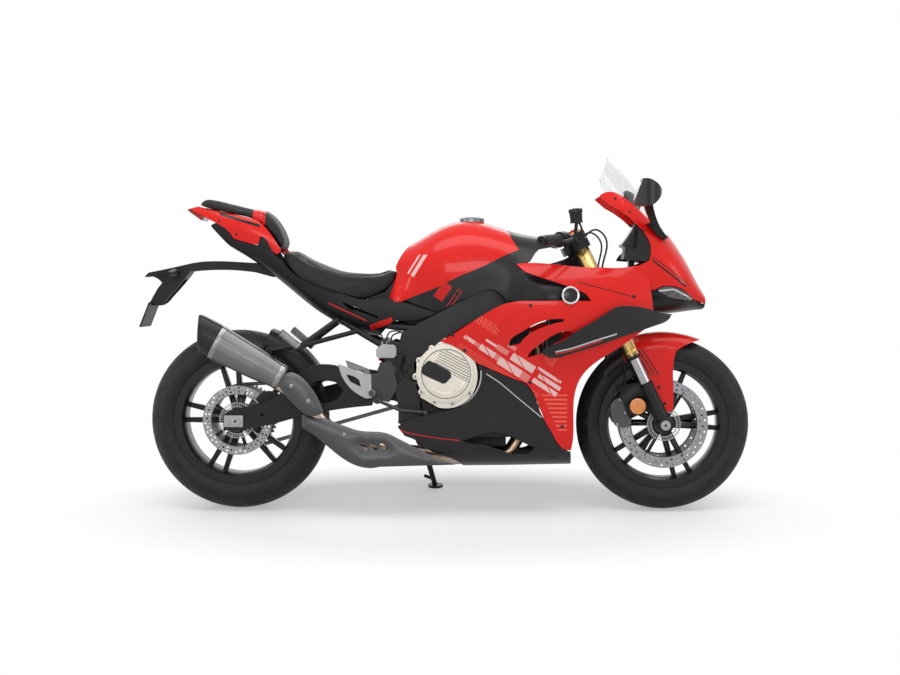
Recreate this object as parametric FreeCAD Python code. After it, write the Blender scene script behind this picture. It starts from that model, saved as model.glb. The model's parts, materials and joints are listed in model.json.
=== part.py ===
import FreeCAD, Part
import math
import os
from FreeCAD import Vector

# A full-fairing sport motorcycle, parked on its side stand. Lengths are millimetres.
# It is drawn upright first: X forward from the rear axle, Y to the rider's left, Z up from the
# ground. The last section leans it onto the stand and moves the origin under its middle.

# Wheels and tyres
WHEELBASE = 1476.0
RIM_SEAT_RADIUS = 216.0
RIM_LIP = 7.0
RIM_WALL = 20.0
SPOKE_PAIRS = 5
REAR_TYRE_RADIUS = 312.0
REAR_TYRE_WIDTH = 160.0
REAR_CROWN_RADIUS = 86.0
REAR_RIM_WIDTH = 130.0
FRONT_TYRE_RADIUS = 300.0
FRONT_TYRE_WIDTH = 120.0
FRONT_CROWN_RADIUS = 65.0
FRONT_RIM_WIDTH = 96.0
AXLE_RADIUS = 11.0
AXLE_BORE = 4.0
RUNNING_GAP = 0.4
SEAT_GAP = 0.3

# Front end
RAKE = 25.5
FORK_OFFSET = 32.0
FORK_SPACING = 208.0
FORK_TUBE_RADIUS = 26.0
FORK_SLIDER_RADIUS = 20.5
FORK_LENGTH = 732.0
FORK_SLIDER_END = 255.0
FRONT_DISC_RADIUS = 152.0
FRONT_DISC_OFFSET = 64.0
DISC_THICKNESS = 5.0
BAR_HALF_WIDTH = 345.0
BAR_SWEEP = 27.0
BAR_DROP = 4.0
BAR_RADIUS = 11.0
GRIP_RADIUS = 16.5
GRIP_LENGTH = 118.0
HEAD_TUBE_RADIUS = 33.0
STEM_RADIUS = 15.0
BEARING_ROOM = 5.0
HEAD_TUBE_LOW = 556.0
HEAD_TUBE_HIGH = 662.0
FENDER_GAP = 14.0
FENDER_WALL = 3.0

# Rear end and drive
PIVOT_X = 600.0
PIVOT_Z = 413.0
PIVOT_TUBE_RADIUS = 26.0
REAR_DISC_RADIUS = 120.0
REAR_DISC_OFFSET = 84.0
RIGHT_ARM_INNER = 98.0
LEFT_ARM_INNER = 110.0
ARM_WALL = 27.0
CHAIN_PITCH = 15.875
REAR_TEETH = 45
FRONT_TEETH = 16
SPROCKET_OFFSET = 95.0
SPROCKET_THICKNESS = 7.0
CHAIN_PLATE = 2.5
CHAIN_GAP = 2.0
CHAIN_HEIGHT = 13.0
SHOCK_TUBE = 18.0
SHOCK_ROOM = 36.0
OUTPUT_SHAFT_X = 84.0
OUTPUT_SHAFT_Z = 17.0

# Bodywork
PLATE_HOLE_PITCH = 140.0
PLATE_HOLE_RADIUS = 3.5
SHIELD_OUT = 184.0
PANEL = 4.0
SCREEN_WALL = 4.0
LEAN = 9.5
STAND_FOOT_Y = 262.0
STAND_AXIS_RISE = 38.0

Y_AXIS = Vector(0, 1, 0)


def point(x, y, z):
    return Vector(x, y, z)


def curve(points):
    """One edge: a line through two points, or a smooth curve through more."""
    if len(points) == 2:
        return Part.LineSegment(points[0], points[1]).toShape()
    spline = Part.BSplineCurve()
    spline.interpolate(points)
    return spline.toShape()


def closed_wire(runs, place):
    """Runs of points, each starting where the last one ended, closed by a straight edge."""
    edges = []
    start = place(runs[0][0])
    last = start
    for index, run in enumerate(runs):
        spots = [place(spot) for spot in run]
        if index > 0:
            spots = [last] + spots
        edges.append(curve(spots))
        last = spots[-1]
    if last.distanceToPoint(start) > 0.01:
        edges.append(curve([last, start]))
    return Part.Wire(edges)


def slab(runs, low, high):
    """A side-view outline in X and Z, given thickness across the bike from low to high."""
    wire = closed_wire(runs, lambda spot: point(spot[0], low, spot[1]))
    return Part.Face(wire).extrude(Vector(0, high - low, 0))


def polygon(points, low, high):
    """A side-view outline with straight edges only."""
    return slab([[points[0], points[1]]] + [[spot] for spot in points[2:]], low, high)


def plan_prism(runs, low, high):
    """A plan outline in X and Y, given height from low to high."""
    wire = closed_wire(runs, lambda spot: point(spot[0], spot[1], low))
    return Part.Face(wire).extrude(Vector(0, 0, high - low))


def rod(start, end, radius):
    """A round bar between two points."""
    return Part.makeCylinder(radius, (end - start).Length, start, end - start)


def cone(start, end, radius_start, radius_end):
    return Part.makeCone(radius_start, radius_end, (end - start).Length, start, end - start)


def box(low, high):
    return Part.makeBox(high[0] - low[0], high[1] - low[1], high[2] - low[2], point(*low))


def mirrored(shape):
    """The same piece on the other side of the bike."""
    return shape.mirror(Vector(0, 0, 0), Y_AXIS)


def both_sides(shape):
    return [shape, mirrored(shape)]


def joined(shapes):
    """One solid from pieces that meet."""
    return shapes[0].multiFuse(shapes[1:]).removeSplitter()


def turned(profile, centre):
    """A profile of (radius, y) points turned about the axle through centre."""
    spots = [point(centre.x + radius, y, centre.z) for radius, y in profile]
    face = Part.Face(Part.makePolygon(spots + [spots[0]]))
    return face.revolve(centre, Y_AXIS, 360)


def bent_tube(points, radius, bend):
    """A round tube along straight runs joined by tangent arcs of one bend radius."""
    edges = []
    last = points[0]
    for before, corner, after in zip(points, points[1:], points[2:]):
        back = (before - corner).normalize()
        ahead = (after - corner).normalize()
        half = back.getAngle(ahead) / 2
        reach = bend / math.tan(half)
        start = corner + back * reach
        end = corner + ahead * reach
        bisector = (back + ahead).normalize()
        middle = corner + bisector * (bend / math.sin(half) - bend)
        edges.append(Part.LineSegment(last, start).toShape())
        edges.append(Part.Arc(start, middle, end).toShape())
        last = end
    edges.append(Part.LineSegment(last, points[-1]).toShape())
    path = Part.Wire(edges)
    circle = Part.Wire(Part.makeCircle(radius, points[0], points[1] - points[0]))
    return path.makePipeShell([circle], True, True)


def ring_section(station, inset):
    """A closed smooth wire across the bike at one X, pulled in by inset.

    The station lists (half width, height) from the top middle down to the bottom middle."""
    x, half = station
    loop = list(half) + [(-width, height) for width, height in reversed(half[1:-1])]
    count = len(loop)
    spots = []
    for index, (width, height) in enumerate(loop):
        before = loop[index - 1]
        after = loop[(index + 1) % count]
        along_y = after[0] - before[0]
        along_z = after[1] - before[1]
        length = math.hypot(along_y, along_z)
        spots.append(point(x, width + inset * along_z / length, height - inset * along_y / length))
    spline = Part.BSplineCurve()
    spline.interpolate(spots, True)
    return Part.Wire(spline.toShape())


def body_form(stations, inset=0.0):
    """The outer form of the bodywork, lofted through sections along the bike."""
    return Part.makeLoft([ring_section(station, inset) for station in stations], True, False)


# Datum points
REAR_AXLE = point(0, 0, REAR_TYRE_RADIUS)
FRONT_AXLE = point(WHEELBASE, 0, FRONT_TYRE_RADIUS)
PIVOT = point(PIVOT_X, 0, PIVOT_Z)
OUTPUT_SHAFT = point(PIVOT_X + OUTPUT_SHAFT_X, 0, PIVOT_Z + OUTPUT_SHAFT_Z)
STEER_UP = point(-math.sin(math.radians(RAKE)), 0, math.cos(math.radians(RAKE)))
STEER_AHEAD = point(math.cos(math.radians(RAKE)), 0, math.sin(math.radians(RAKE)))
STEER_BASE = FRONT_AXLE - STEER_AHEAD * FORK_OFFSET
STAND_HINGE = point(PIVOT_X + 32, 118, PIVOT_Z - 188)
STAND_TURN = FreeCAD.Rotation(Vector(1, 0, 0), STAND_AXIS_RISE)

# Leaning onto the stand lowers the round tyre crowns by the crown radius times (1 - cos lean).
# The front and rear crowns differ little, so the rear one sets the height.
CROWN_LIFT = REAR_CROWN_RADIUS * (1 - math.cos(math.radians(LEAN)))


def along(x):
    """A place along the bike: behind the pivot it is fixed, ahead it stretches with the wheelbase."""
    drawn_front = 876.0
    if x <= PIVOT_X:
        return x
    return PIVOT_X + (x - PIVOT_X) * (WHEELBASE - PIVOT_X) / drawn_front


def drawn(*runs):
    """Outline runs with their X values placed by along()."""
    return [[(along(x), z) for x, z in run] for run in runs]


def fork_point(up, y=0.0, ahead=0.0):
    """A point on the fork leg line: up from the axle, with y across and ahead of the leg."""
    return FRONT_AXLE + STEER_UP * up + STEER_AHEAD * ahead + Vector(0, y, 0)


# Tyres, rims, discs and sprocket

def tyre(centre, radius, width, crown, rim_width):
    """A road tyre: a round crown, sidewalls down to the beads, and a flat seat on the rim."""
    half = width / 2
    angle = math.asin(half / crown * 0.98)
    shoulder = radius - crown + crown * math.cos(angle)
    bead = rim_width / 2
    flank = RIM_SEAT_RADIUS + 0.45 * (shoulder - RIM_SEAT_RADIUS)

    def spot(out, y):
        return point(centre.x + out, y, centre.z)

    top = Part.Arc(spot(shoulder, -half), spot(radius, 0), spot(shoulder, half)).toShape()
    left = Part.Arc(spot(shoulder, half), spot(flank + 8, half - 2), spot(RIM_SEAT_RADIUS, bead)).toShape()
    seat = Part.LineSegment(spot(RIM_SEAT_RADIUS, bead), spot(RIM_SEAT_RADIUS, -bead)).toShape()
    right = Part.Arc(spot(RIM_SEAT_RADIUS, -bead), spot(flank + 8, 2 - half),
                     spot(shoulder, -half)).toShape()
    return Part.Face(Part.Wire([top, left, seat, right])).revolve(centre, Y_AXIS, 360)


def spoke(angle, root_offset, rim_offset, root_radius, rim_radius, depth, rim_depth):
    """One tapered arm of a V pair, drawn along +X and turned to its angle about the Y axis."""
    def section(radius, offset, half_width, half_depth):
        middle = point(radius * math.cos(offset), 0, radius * math.sin(offset))
        corners = [(-half_width, -half_depth * 0.7), (-half_width * 0.6, -half_depth),
                   (half_width * 0.6, -half_depth), (half_width, -half_depth * 0.7),
                   (half_width, half_depth * 0.7), (half_width * 0.6, half_depth),
                   (-half_width * 0.6, half_depth), (-half_width, half_depth * 0.7)]
        spots = [middle + Vector(0, y, z) for z, y in corners]
        return Part.makePolygon(spots + [spots[0]])

    arm = Part.makeLoft([section(root_radius, root_offset, 11, depth),
                         section(rim_radius, rim_offset, 8, rim_depth)], True, True)
    arm.rotate(Vector(0, 0, 0), Y_AXIS, angle)
    return arm


def wheel_rim(centre, rim_width, hub_width, hub_radius, first_angle):
    """A cast rim: barrel with lips, a drilled hub, and pairs of spokes that open toward the barrel."""
    half = rim_width / 2
    seat = RIM_SEAT_RADIUS
    inner = seat - RIM_WALL
    lip = half + 6
    barrel = turned([(seat + RIM_LIP, lip), (seat + RIM_LIP, half), (seat, half), (seat, -half),
                     (seat + RIM_LIP, -half), (seat + RIM_LIP, -lip), (inner, -lip),
                     (inner - 8, 16 - half), (inner - 8, half - 16), (inner, lip)], centre)
    hub = rod(centre - Y_AXIS * (hub_width / 2), centre + Y_AXIS * (hub_width / 2), hub_radius)
    spokes = []
    for pair in range(SPOKE_PAIRS):
        angle = first_angle + pair * 360 / SPOKE_PAIRS
        for side in (-1, 1):
            arm = spoke(angle, side * 0.26, side * 0.145, hub_radius - 6, inner - 4, 24, 17)
            arm.translate(centre)
            spokes.append(arm)
    bore = rod(centre - Y_AXIS * hub_width, centre + Y_AXIS * hub_width, AXLE_RADIUS + RUNNING_GAP)
    return joined([barrel, hub] + spokes).cut(bore)


def brake_disc(centre, radius, offset, hub_radius, arms, side):
    """A brake disc: the braking ring on a star of arms from the hub's end."""
    near = min(side * offset, side * (offset + DISC_THICKNESS))
    far = near + DISC_THICKNESS
    band = 0.74 * radius
    ring = turned([(radius, near), (radius, far), (band, far), (band, near)], centre)
    boss = turned([(hub_radius, near), (hub_radius, far), (hub_radius - 14, far), (hub_radius - 14, near)],
                  centre)
    pieces = [ring, boss]
    for number in range(arms):
        arm = box((hub_radius - 6, near + 0.5, -6), (band + 4, far - 0.5, 6))
        arm.rotate(Vector(0, 0, 0), Y_AXIS, number * 360 / arms)
        arm.translate(centre)
        pieces.append(arm)
    return joined(pieces)


def sprocket():
    """The rear sprocket: teeth at the chain pitch, and a star of arms to the hub."""
    pitch_radius = CHAIN_PITCH / 2 / math.sin(math.pi / REAR_TEETH)
    tip = pitch_radius + 4.5
    root = pitch_radius - 4.5
    low = SPROCKET_OFFSET
    spots = []
    for tooth in range(REAR_TEETH):
        for part_turn, radius in ((0, root), (0.35, tip), (0.65, tip)):
            angle = 2 * math.pi * (tooth + part_turn) / REAR_TEETH
            spots.append(point(radius * math.cos(angle), low, radius * math.sin(angle)))
    blank = Part.Face(Part.makePolygon(spots + [spots[0]])).extrude(Y_AXIS * SPROCKET_THICKNESS)
    blank = blank.cut(rod(point(0, 0, 0), point(0, 2 * low, 0), root - 12))
    pieces = [blank]
    boss_radius = 46
    boss = Part.makeCylinder(boss_radius, SPROCKET_THICKNESS, point(0, low, 0), Y_AXIS)
    pieces.append(boss.cut(rod(point(0, 0, 0), point(0, 2 * low, 0), AXLE_RADIUS + 14)))
    for number in range(6):
        arm = box((boss_radius - 6, low, -9), (root - 8, low + SPROCKET_THICKNESS, 9))
        arm.rotate(Vector(0, 0, 0), Y_AXIS, number * 60)
        pieces.append(arm)
    shape = joined(pieces)
    shape.translate(REAR_AXLE)
    return shape


def make_wheels():
    hub_front = 2 * FRONT_DISC_OFFSET
    hub_rear_right = REAR_DISC_OFFSET
    rear_rim = wheel_rim(REAR_AXLE, REAR_RIM_WIDTH, 2 * hub_rear_right, 44, -29)
    cush_drive = rod(REAR_AXLE + Y_AXIS * hub_rear_right, REAR_AXLE + Y_AXIS * SPROCKET_OFFSET, 46)
    cush_drive = cush_drive.cut(rod(REAR_AXLE, REAR_AXLE + Y_AXIS * 200, AXLE_RADIUS + RUNNING_GAP))
    return {
        "rear_rim": joined([rear_rim, cush_drive]),
        "rear_tyre": tyre(REAR_AXLE, REAR_TYRE_RADIUS, REAR_TYRE_WIDTH, REAR_CROWN_RADIUS, REAR_RIM_WIDTH),
        "rear_disc": brake_disc(REAR_AXLE, REAR_DISC_RADIUS, REAR_DISC_OFFSET, 42, 5, -1),
        "rear_sprocket": sprocket(),
        "front_rim": wheel_rim(FRONT_AXLE, FRONT_RIM_WIDTH, hub_front, 36, -3),
        "front_tyre": tyre(FRONT_AXLE, FRONT_TYRE_RADIUS, FRONT_TYRE_WIDTH, FRONT_CROWN_RADIUS,
                           FRONT_RIM_WIDTH),
        "front_discs": Part.makeCompound([
            brake_disc(FRONT_AXLE, FRONT_DISC_RADIUS, FRONT_DISC_OFFSET, 34, 6, side) for side in (-1, 1)]),
    }


# Fork, handlebars and front fender

def make_front_end():
    half = FORK_SPACING / 2
    lower_clamp_up = 520.0
    upper_clamp_up = 668.0
    clamp_height = 30.0
    tubes = []
    bottoms = []
    calipers = []
    for side in (-1, 1):
        y = side * half
        tubes.append(rod(fork_point(FORK_SLIDER_END, y), fork_point(FORK_LENGTH, y), FORK_TUBE_RADIUS))
        slider = rod(fork_point(30, y), fork_point(FORK_SLIDER_END, y), FORK_SLIDER_RADIUS)
        casting = cone(fork_point(4, y), fork_point(160, y), 25.5, 24.5)
        eye = rod(FRONT_AXLE + Y_AXIS * side * (half - 24), FRONT_AXLE + Y_AXIS * side * (half + 24), 26)
        lug = polygon([(-54, 70), (26, 70), (38, 170), (-46, 190)], -9, 9)
        lug.rotate(Vector(0, 0, 0), Y_AXIS, -RAKE)
        lug.translate(FRONT_AXLE + Y_AXIS * y + STEER_AHEAD * -46)
        axle_hole = rod(FRONT_AXLE - Y_AXIS * 300, FRONT_AXLE + Y_AXIS * 300, AXLE_RADIUS)
        bottom = joined([slider, casting, eye, lug]).cut(axle_hole)
        bottoms.append(bottom)
        calipers.append(front_caliper(side).cut(bottom))
    stem_low = STEER_BASE + STEER_UP * (lower_clamp_up - 12)
    stem_high = STEER_BASE + STEER_UP * (upper_clamp_up + clamp_height + 8)
    clamps = [rod(stem_low, stem_high, STEM_RADIUS)]
    for up in (HEAD_TUBE_LOW, HEAD_TUBE_HIGH - 14):
        clamps.append(rod(STEER_BASE + STEER_UP * up, STEER_BASE + STEER_UP * (up + 14),
                          STEM_RADIUS + BEARING_ROOM - RUNNING_GAP))
    for up in (lower_clamp_up, upper_clamp_up):
        plate = box((-FORK_OFFSET - 26, -half + 8, up), (14, half - 8, up + clamp_height))
        plate.rotate(Vector(0, 0, 0), Y_AXIS, -RAKE)
        plate.translate(FRONT_AXLE)
        clamps.append(plate)
        for side in (-1, 1):
            clamps.append(rod(fork_point(up, side * half), fork_point(up + clamp_height, side * half),
                              FORK_TUBE_RADIUS + 9))
    clamp_shape = joined(clamps)
    for tube in tubes:
        clamp_shape = clamp_shape.cut(tube)
    bars, grips, controls = make_bars(upper_clamp_up + clamp_height + 1)
    axle_half = half + 27
    head = rod(FRONT_AXLE + Y_AXIS * (-axle_half - 4), FRONT_AXLE - Y_AXIS * (half + 24), 17)
    nut = rod(FRONT_AXLE + Y_AXIS * (half + 24), FRONT_AXLE + Y_AXIS * (axle_half + 6), 15)
    bolt = rod(FRONT_AXLE - Y_AXIS * axle_half, FRONT_AXLE + Y_AXIS * axle_half, AXLE_RADIUS)
    bore = rod(FRONT_AXLE - Y_AXIS * 300, FRONT_AXLE + Y_AXIS * 300, AXLE_BORE)
    spacer = rod(FRONT_AXLE + Y_AXIS * (FRONT_DISC_OFFSET + 1), FRONT_AXLE + Y_AXIS * (half - 24), 15)
    axle = joined([bolt, head, nut] + both_sides(spacer)).cut(bore)
    return {
        "fork_clamps": clamp_shape,
        "fork_tubes": Part.makeCompound(tubes),
        "fork_bottoms": Part.makeCompound(bottoms),
        "front_calipers": Part.makeCompound(calipers),
        "handlebars": bars,
        "grips": grips,
        "hand_controls": controls,
        "front_axle": axle,
        "front_fender": make_fender(half),
    }


def front_caliper(side):
    """A four-piston caliper over the rear edge of its disc, with a slot for the disc."""
    low = FRONT_DISC_OFFSET - 26
    high = FRONT_DISC_OFFSET + DISC_THICKNESS + 34
    body = slab([[(-62, -38), (-66, 0), (-56, 40)], [(-34, 52)], [(-8, 46), (-4, 0), (-10, -40)],
                 [(-32, -52)]], low, high)
    body.rotate(Vector(0, 0, 0), Y_AXIS, -18)
    reach = FRONT_DISC_RADIUS - 8
    angle = math.radians(172)
    body.translate(FRONT_AXLE + Vector(reach * math.cos(angle) + 22, 0, reach * math.sin(angle) + 30))
    slot_low = FRONT_DISC_OFFSET - 5.2
    slot_high = FRONT_DISC_OFFSET + DISC_THICKNESS + 5.2
    slot = turned([(FRONT_DISC_RADIUS + 6, slot_low), (FRONT_DISC_RADIUS + 6, slot_high), (20, slot_high),
                   (20, slot_low)], FRONT_AXLE)
    clear_rim = turned([(RIM_SEAT_RADIUS + 30, 0), (RIM_SEAT_RADIUS + 30, FRONT_RIM_WIDTH / 2 + 12),
                        (20, FRONT_RIM_WIDTH / 2 + 12), (20, 0)], FRONT_AXLE)
    body = body.cut(slot).cut(clear_rim)
    if side < 0:
        return mirrored(body)
    return body


def make_bars(up):
    """Clip-on bars under the upper clamp, swept back, with grips and hand controls."""
    half = FORK_SPACING / 2
    bars = []
    grips = []
    controls = []
    sweep = math.radians(BAR_SWEEP)
    drop = math.radians(BAR_DROP)
    for side in (-1, 1):
        root = fork_point(up + 14, side * half)
        clamp = rod(fork_point(up, side * half), fork_point(up + 28, side * half), FORK_TUBE_RADIUS + 9)
        direction = Vector(-math.sin(sweep), side * math.cos(sweep) * math.cos(drop), -math.sin(drop))
        start = root + STEER_AHEAD * 6 + direction * (FORK_TUBE_RADIUS + 2)
        length = (BAR_HALF_WIDTH - half) / math.cos(sweep) - FORK_TUBE_RADIUS - 2
        end = start + direction * length
        tube = rod(start, end, BAR_RADIUS)
        weight = rod(end - direction * 1, end + direction * 22, GRIP_RADIUS - 1)
        thread = rod(end, end + direction * 60, 3)
        leg = rod(fork_point(up - 90, side * half), fork_point(up + 60, side * half), FORK_TUBE_RADIUS)
        bars.append(joined([clamp, tube, weight]).cut(thread).cut(leg))
        grip_start = end - direction * (GRIP_LENGTH + 1)
        grip = rod(grip_start, end - direction * 1, GRIP_RADIUS).cut(tube)
        grips.append(grip)
        pod_start = grip_start - direction * 44
        pod = rod(pod_start, grip_start - direction * 1, 23).cut(tube)
        lever_pivot = pod_start + direction * 6 + Vector(38, 0, -4)
        lever_tip = grip_start + direction * 108 + Vector(60, 0, -6)
        bracket = rod(pod_start + direction * 8, lever_pivot, 12).cut(tube)
        knuckle = rod(lever_pivot - Vector(0, 0, 9), lever_pivot + Vector(0, 0, 9), 13)
        blade = cone(lever_pivot, lever_tip, 8, 5.5)
        ball = Part.makeSphere(8, lever_tip)
        pieces = [pod, bracket, knuckle, blade, ball]
        if side < 0:
            cup_base = lever_pivot + Vector(5, -7, 55)
            pieces.append(rod(lever_pivot, cup_base + Vector(0, 0, 4), 6))
            pieces.append(cone(cup_base, cup_base + Vector(-4, 0, 43), 20, 22))
        controls.append(joined(pieces).cut(tube))
    return Part.makeCompound(bars), Part.makeCompound(grips), Part.makeCompound(controls)


def make_fender(fork_half):
    """The front fender: a curved skin over the tyre, with side cheeks bolted to the fork legs."""
    clear = FRONT_TYRE_RADIUS + FENDER_GAP
    half = FRONT_TYRE_WIDTH / 2 + 12
    section = [(clear - 62, half + 1), (clear - 26, half - 6), (clear - 4, half - 26), (clear, 0)]

    def arch(grow):
        spots = [point(radius + grow, y + (grow if y > 0 else 0), 0) for radius, y in section]
        spots += [point(radius + grow, -y - grow, 0) for radius, y in reversed(section[:-1])]
        return [point(FRONT_AXLE.x + spot.x, spot.y, FRONT_AXLE.z) for spot in spots]

    outer = arch(FENDER_WALL)
    inner = arch(0)
    edges = [curve(outer), curve([outer[-1], inner[-1]]), curve(list(reversed(inner))),
             curve([inner[0], outer[0]])]
    start_turn = -42.0
    skin = Part.Face(Part.Wire(edges))
    skin.rotate(FRONT_AXLE, Y_AXIS, start_turn)
    skin = skin.revolve(FRONT_AXLE, Y_AXIS, -112)
    front_x = FRONT_AXLE.x
    front_z = FRONT_AXLE.z
    outline = slab([[(front_x - 122, front_z + 282), (front_x - 60, front_z + 330),
                     (front_x + 60, front_z + 330), (front_x + 190, front_z + 290)],
                    [(front_x + 80, front_z + 276), (front_x + 48, front_z + 258)],
                    [(front_x - 20, front_z + 200)], [(front_x - 88, front_z + 240)]], -100, 100)
    rear = slab([[(front_x - 122, front_z + 282), (front_x - 90, front_z + 250)],
                 [(front_x - 60, front_z + 190)], [(front_x - 160, front_z + 150)],
                 [(front_x - 210, front_z + 170)], [(front_x - 190, front_z + 250)]], -100, 100)
    top = skin.common(joined([outline, rear]))
    cheek_low = half + FENDER_WALL - 0.5
    cheek = slab([[(front_x - 120, front_z + 270), (front_x - 80, front_z + 262),
                   (front_x + 44, front_z + 262)],
                  [(front_x + 36, front_z + 236), (front_x + 30, front_z + 180),
                   (front_x + 30, front_z + 50)],
                  [(front_x - 4, front_z + 32)],
                  [(front_x - 34, front_z + 76), (front_x - 72, front_z + 165),
                   (front_x - 92, front_z + 235)]],
                 cheek_low, cheek_low + FENDER_WALL)
    pieces = [top]
    for side in (-1, 1):
        half_cheek = cheek if side > 0 else mirrored(cheek)
        leg = rod(fork_point(-20, side * fork_half), fork_point(400, side * fork_half),
                  FORK_TUBE_RADIUS + 1)
        pieces.append(half_cheek.cut(leg))
        for up in (60, 120):
            pieces.append(rod(fork_point(up, side * (cheek_low + 1)),
                              fork_point(up, side * (cheek_low + 9)), 7))
    solids = joined(pieces).Solids
    return max(solids, key=lambda solid: solid.Volume)


# Frame, swingarm and what they carry

def make_frame():
    """Twin spars from the steering head to the pivot plates, and tube rails back to the tail."""
    head_low = STEER_BASE + STEER_UP * HEAD_TUBE_LOW
    head_high = STEER_BASE + STEER_UP * HEAD_TUBE_HIGH
    head = rod(head_low, head_high, HEAD_TUBE_RADIUS)

    def section(x, z, y, tall, thick, tilt):
        spots = []
        for up, out in ((-tall / 2, -thick / 2), (-tall / 2, thick / 2), (tall / 2, thick / 2),
                        (tall / 2, -thick / 2)):
            spots.append(point(along(x) - up * math.sin(tilt), y + out, z + up * math.cos(tilt)))
        return Part.makePolygon(spots + [spots[0]])

    spar = Part.makeLoft([
        section(1178, 838, -34, 86, 30, 0.2),
        section(1070, 806, -104, 84, 28, 0.35),
        section(880, 737, -140, 76, 28, 0.5),
        section(720, 650, -150, 82, 28, 0.45),
        section(590, 564, -140, 114, 28, 0.3),
        section(560, 500, -128, 120, 28, 0.0)], True, True)
    plate = slab([[(PIVOT_X - 84, PIVOT_Z + 110), (PIVOT_X - 92, PIVOT_Z + 150),
                   (PIVOT_X - 60, PIVOT_Z + 176)],
                  [(PIVOT_X + 20, PIVOT_Z + 150)], [(PIVOT_X + 14, PIVOT_Z + 60), (PIVOT_X + 30, PIVOT_Z)],
                  [(PIVOT_X + 40, PIVOT_Z - 74)],
                  [(PIVOT_X - 2, PIVOT_Z - 110), (PIVOT_X - 40, PIVOT_Z - 106)],
                  [(PIVOT_X - 44, PIVOT_Z - 20), (PIVOT_X - 72, PIVOT_Z + 60)]],
                 -LEFT_ARM_INNER - ARM_WALL - 3, -LEFT_ARM_INNER - 1)
    side = spar.fuse(plate)
    upper_rail = bent_tube([point(660, -128, 626), point(520, -100, 642), point(330, -78, 712),
                            point(110, -60, 846)], 13, 120)
    lower_rail = bent_tube([point(560, -118, 540), point(430, -96, 616), point(270, -74, 716),
                            point(150, -63, 822)], 11, 120)
    side = joined([side, upper_rail, lower_rail])
    shock_low, shock_high = shock_ends()
    shock_mount = shock_high + (shock_high - shock_low).normalize() * SHOCK_TUBE
    cross_tubes = [rod(point(318, -78, 720), point(318, 78, 720), 11),
                   rod(point(140, -62, 830), point(140, 62, 830), 11),
                   rod(shock_mount - Y_AXIS * 132, shock_mount + Y_AXIS * 132, SHOCK_TUBE)]
    pivot_bolt = rod(PIVOT - Y_AXIS * 142, PIVOT + Y_AXIS * 142, 10)
    tank_pad = box((along(922), -122, 775), (along(948), -98, 894))
    frame = joined([head] + both_sides(side) + both_sides(tank_pad) + cross_tubes + [pivot_bolt])
    bore = rod(head_low - STEER_UP * 60, head_high + STEER_UP * 60, STEM_RADIUS + BEARING_ROOM)
    return frame.cut(bore)


def make_swingarm():
    """Alloy swingarm: a braced right arm with a truss, a straight left arm outside the chain."""
    axle = REAR_AXLE
    right = slab([[(-46, 331), (-14, 348), (69, 370), (165, 420)],
                  [(223, 482), (262, 503), (300, 508), (340, 505)],
                  [(446, 470)], [(470, 452)], [(470, 366)], [(300, 344), (165, 312)],
                  [(60, 288), (-42, 280)]],
                 -RIGHT_ARM_INNER - ARM_WALL, -RIGHT_ARM_INNER)
    window = slab([[(250, 420), (276, 448), (310, 452), (345, 446)], [(372, 418)], [(352, 388)],
                   [(270, 378), (248, 396)]], -200, 0)
    right = right.cut(window)
    left = slab([[(-46, 334), (60, 364), (240, 408), (400, 446)], [(470, 448)], [(470, 368)],
                 [(300, 340), (60, 288)], [(-42, 280)]], LEFT_ARM_INNER, LEFT_ARM_INNER + ARM_WALL)
    brace = box((392, -RIGHT_ARM_INNER - ARM_WALL, 370), (470, LEFT_ARM_INNER + ARM_WALL, 440))
    neck = box((450, -RIGHT_ARM_INNER, 382), (PIVOT_X - 8, 78, 442))
    pivot_tube = rod(PIVOT - Y_AXIS * (RIGHT_ARM_INNER + 8), PIVOT + Y_AXIS * 78, PIVOT_TUBE_RADIUS)
    arm = joined([right, left, brace, neck, pivot_tube])
    slot = box((axle.x - 22, -200, axle.z - AXLE_RADIUS - 0.2),
               (axle.x + 22, 200, axle.z + AXLE_RADIUS + 0.2))
    arm = arm.cut(slot)
    arm = arm.cut(rod(PIVOT - Y_AXIS * 200, PIVOT + Y_AXIS * 200, 10.3))
    for side, reach in ((-1, RIGHT_ARM_INNER + ARM_WALL), (1, LEFT_ARM_INNER + ARM_WALL)):
        bobbin_hole = rod(point(92, side * (reach - 22), 334), point(92, side * (reach + 10), 334), 5)
        arm = arm.cut(bobbin_hole)
    tyre_room = turned([(REAR_TYRE_RADIUS + 14, -RIGHT_ARM_INNER + 1),
                        (REAR_TYRE_RADIUS + 14, LEFT_ARM_INNER - 1),
                        (10, LEFT_ARM_INNER - 1), (10, -RIGHT_ARM_INNER + 1)], axle)
    shock_low, shock_high = shock_ends()
    shock_room = box((shock_low.x - 60, -SHOCK_ROOM, PIVOT_Z - 80),
                     (shock_low.x + 30, SHOCK_ROOM, PIVOT_Z + 80))
    return arm.cut(tyre_room).cut(shock_room)


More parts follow.
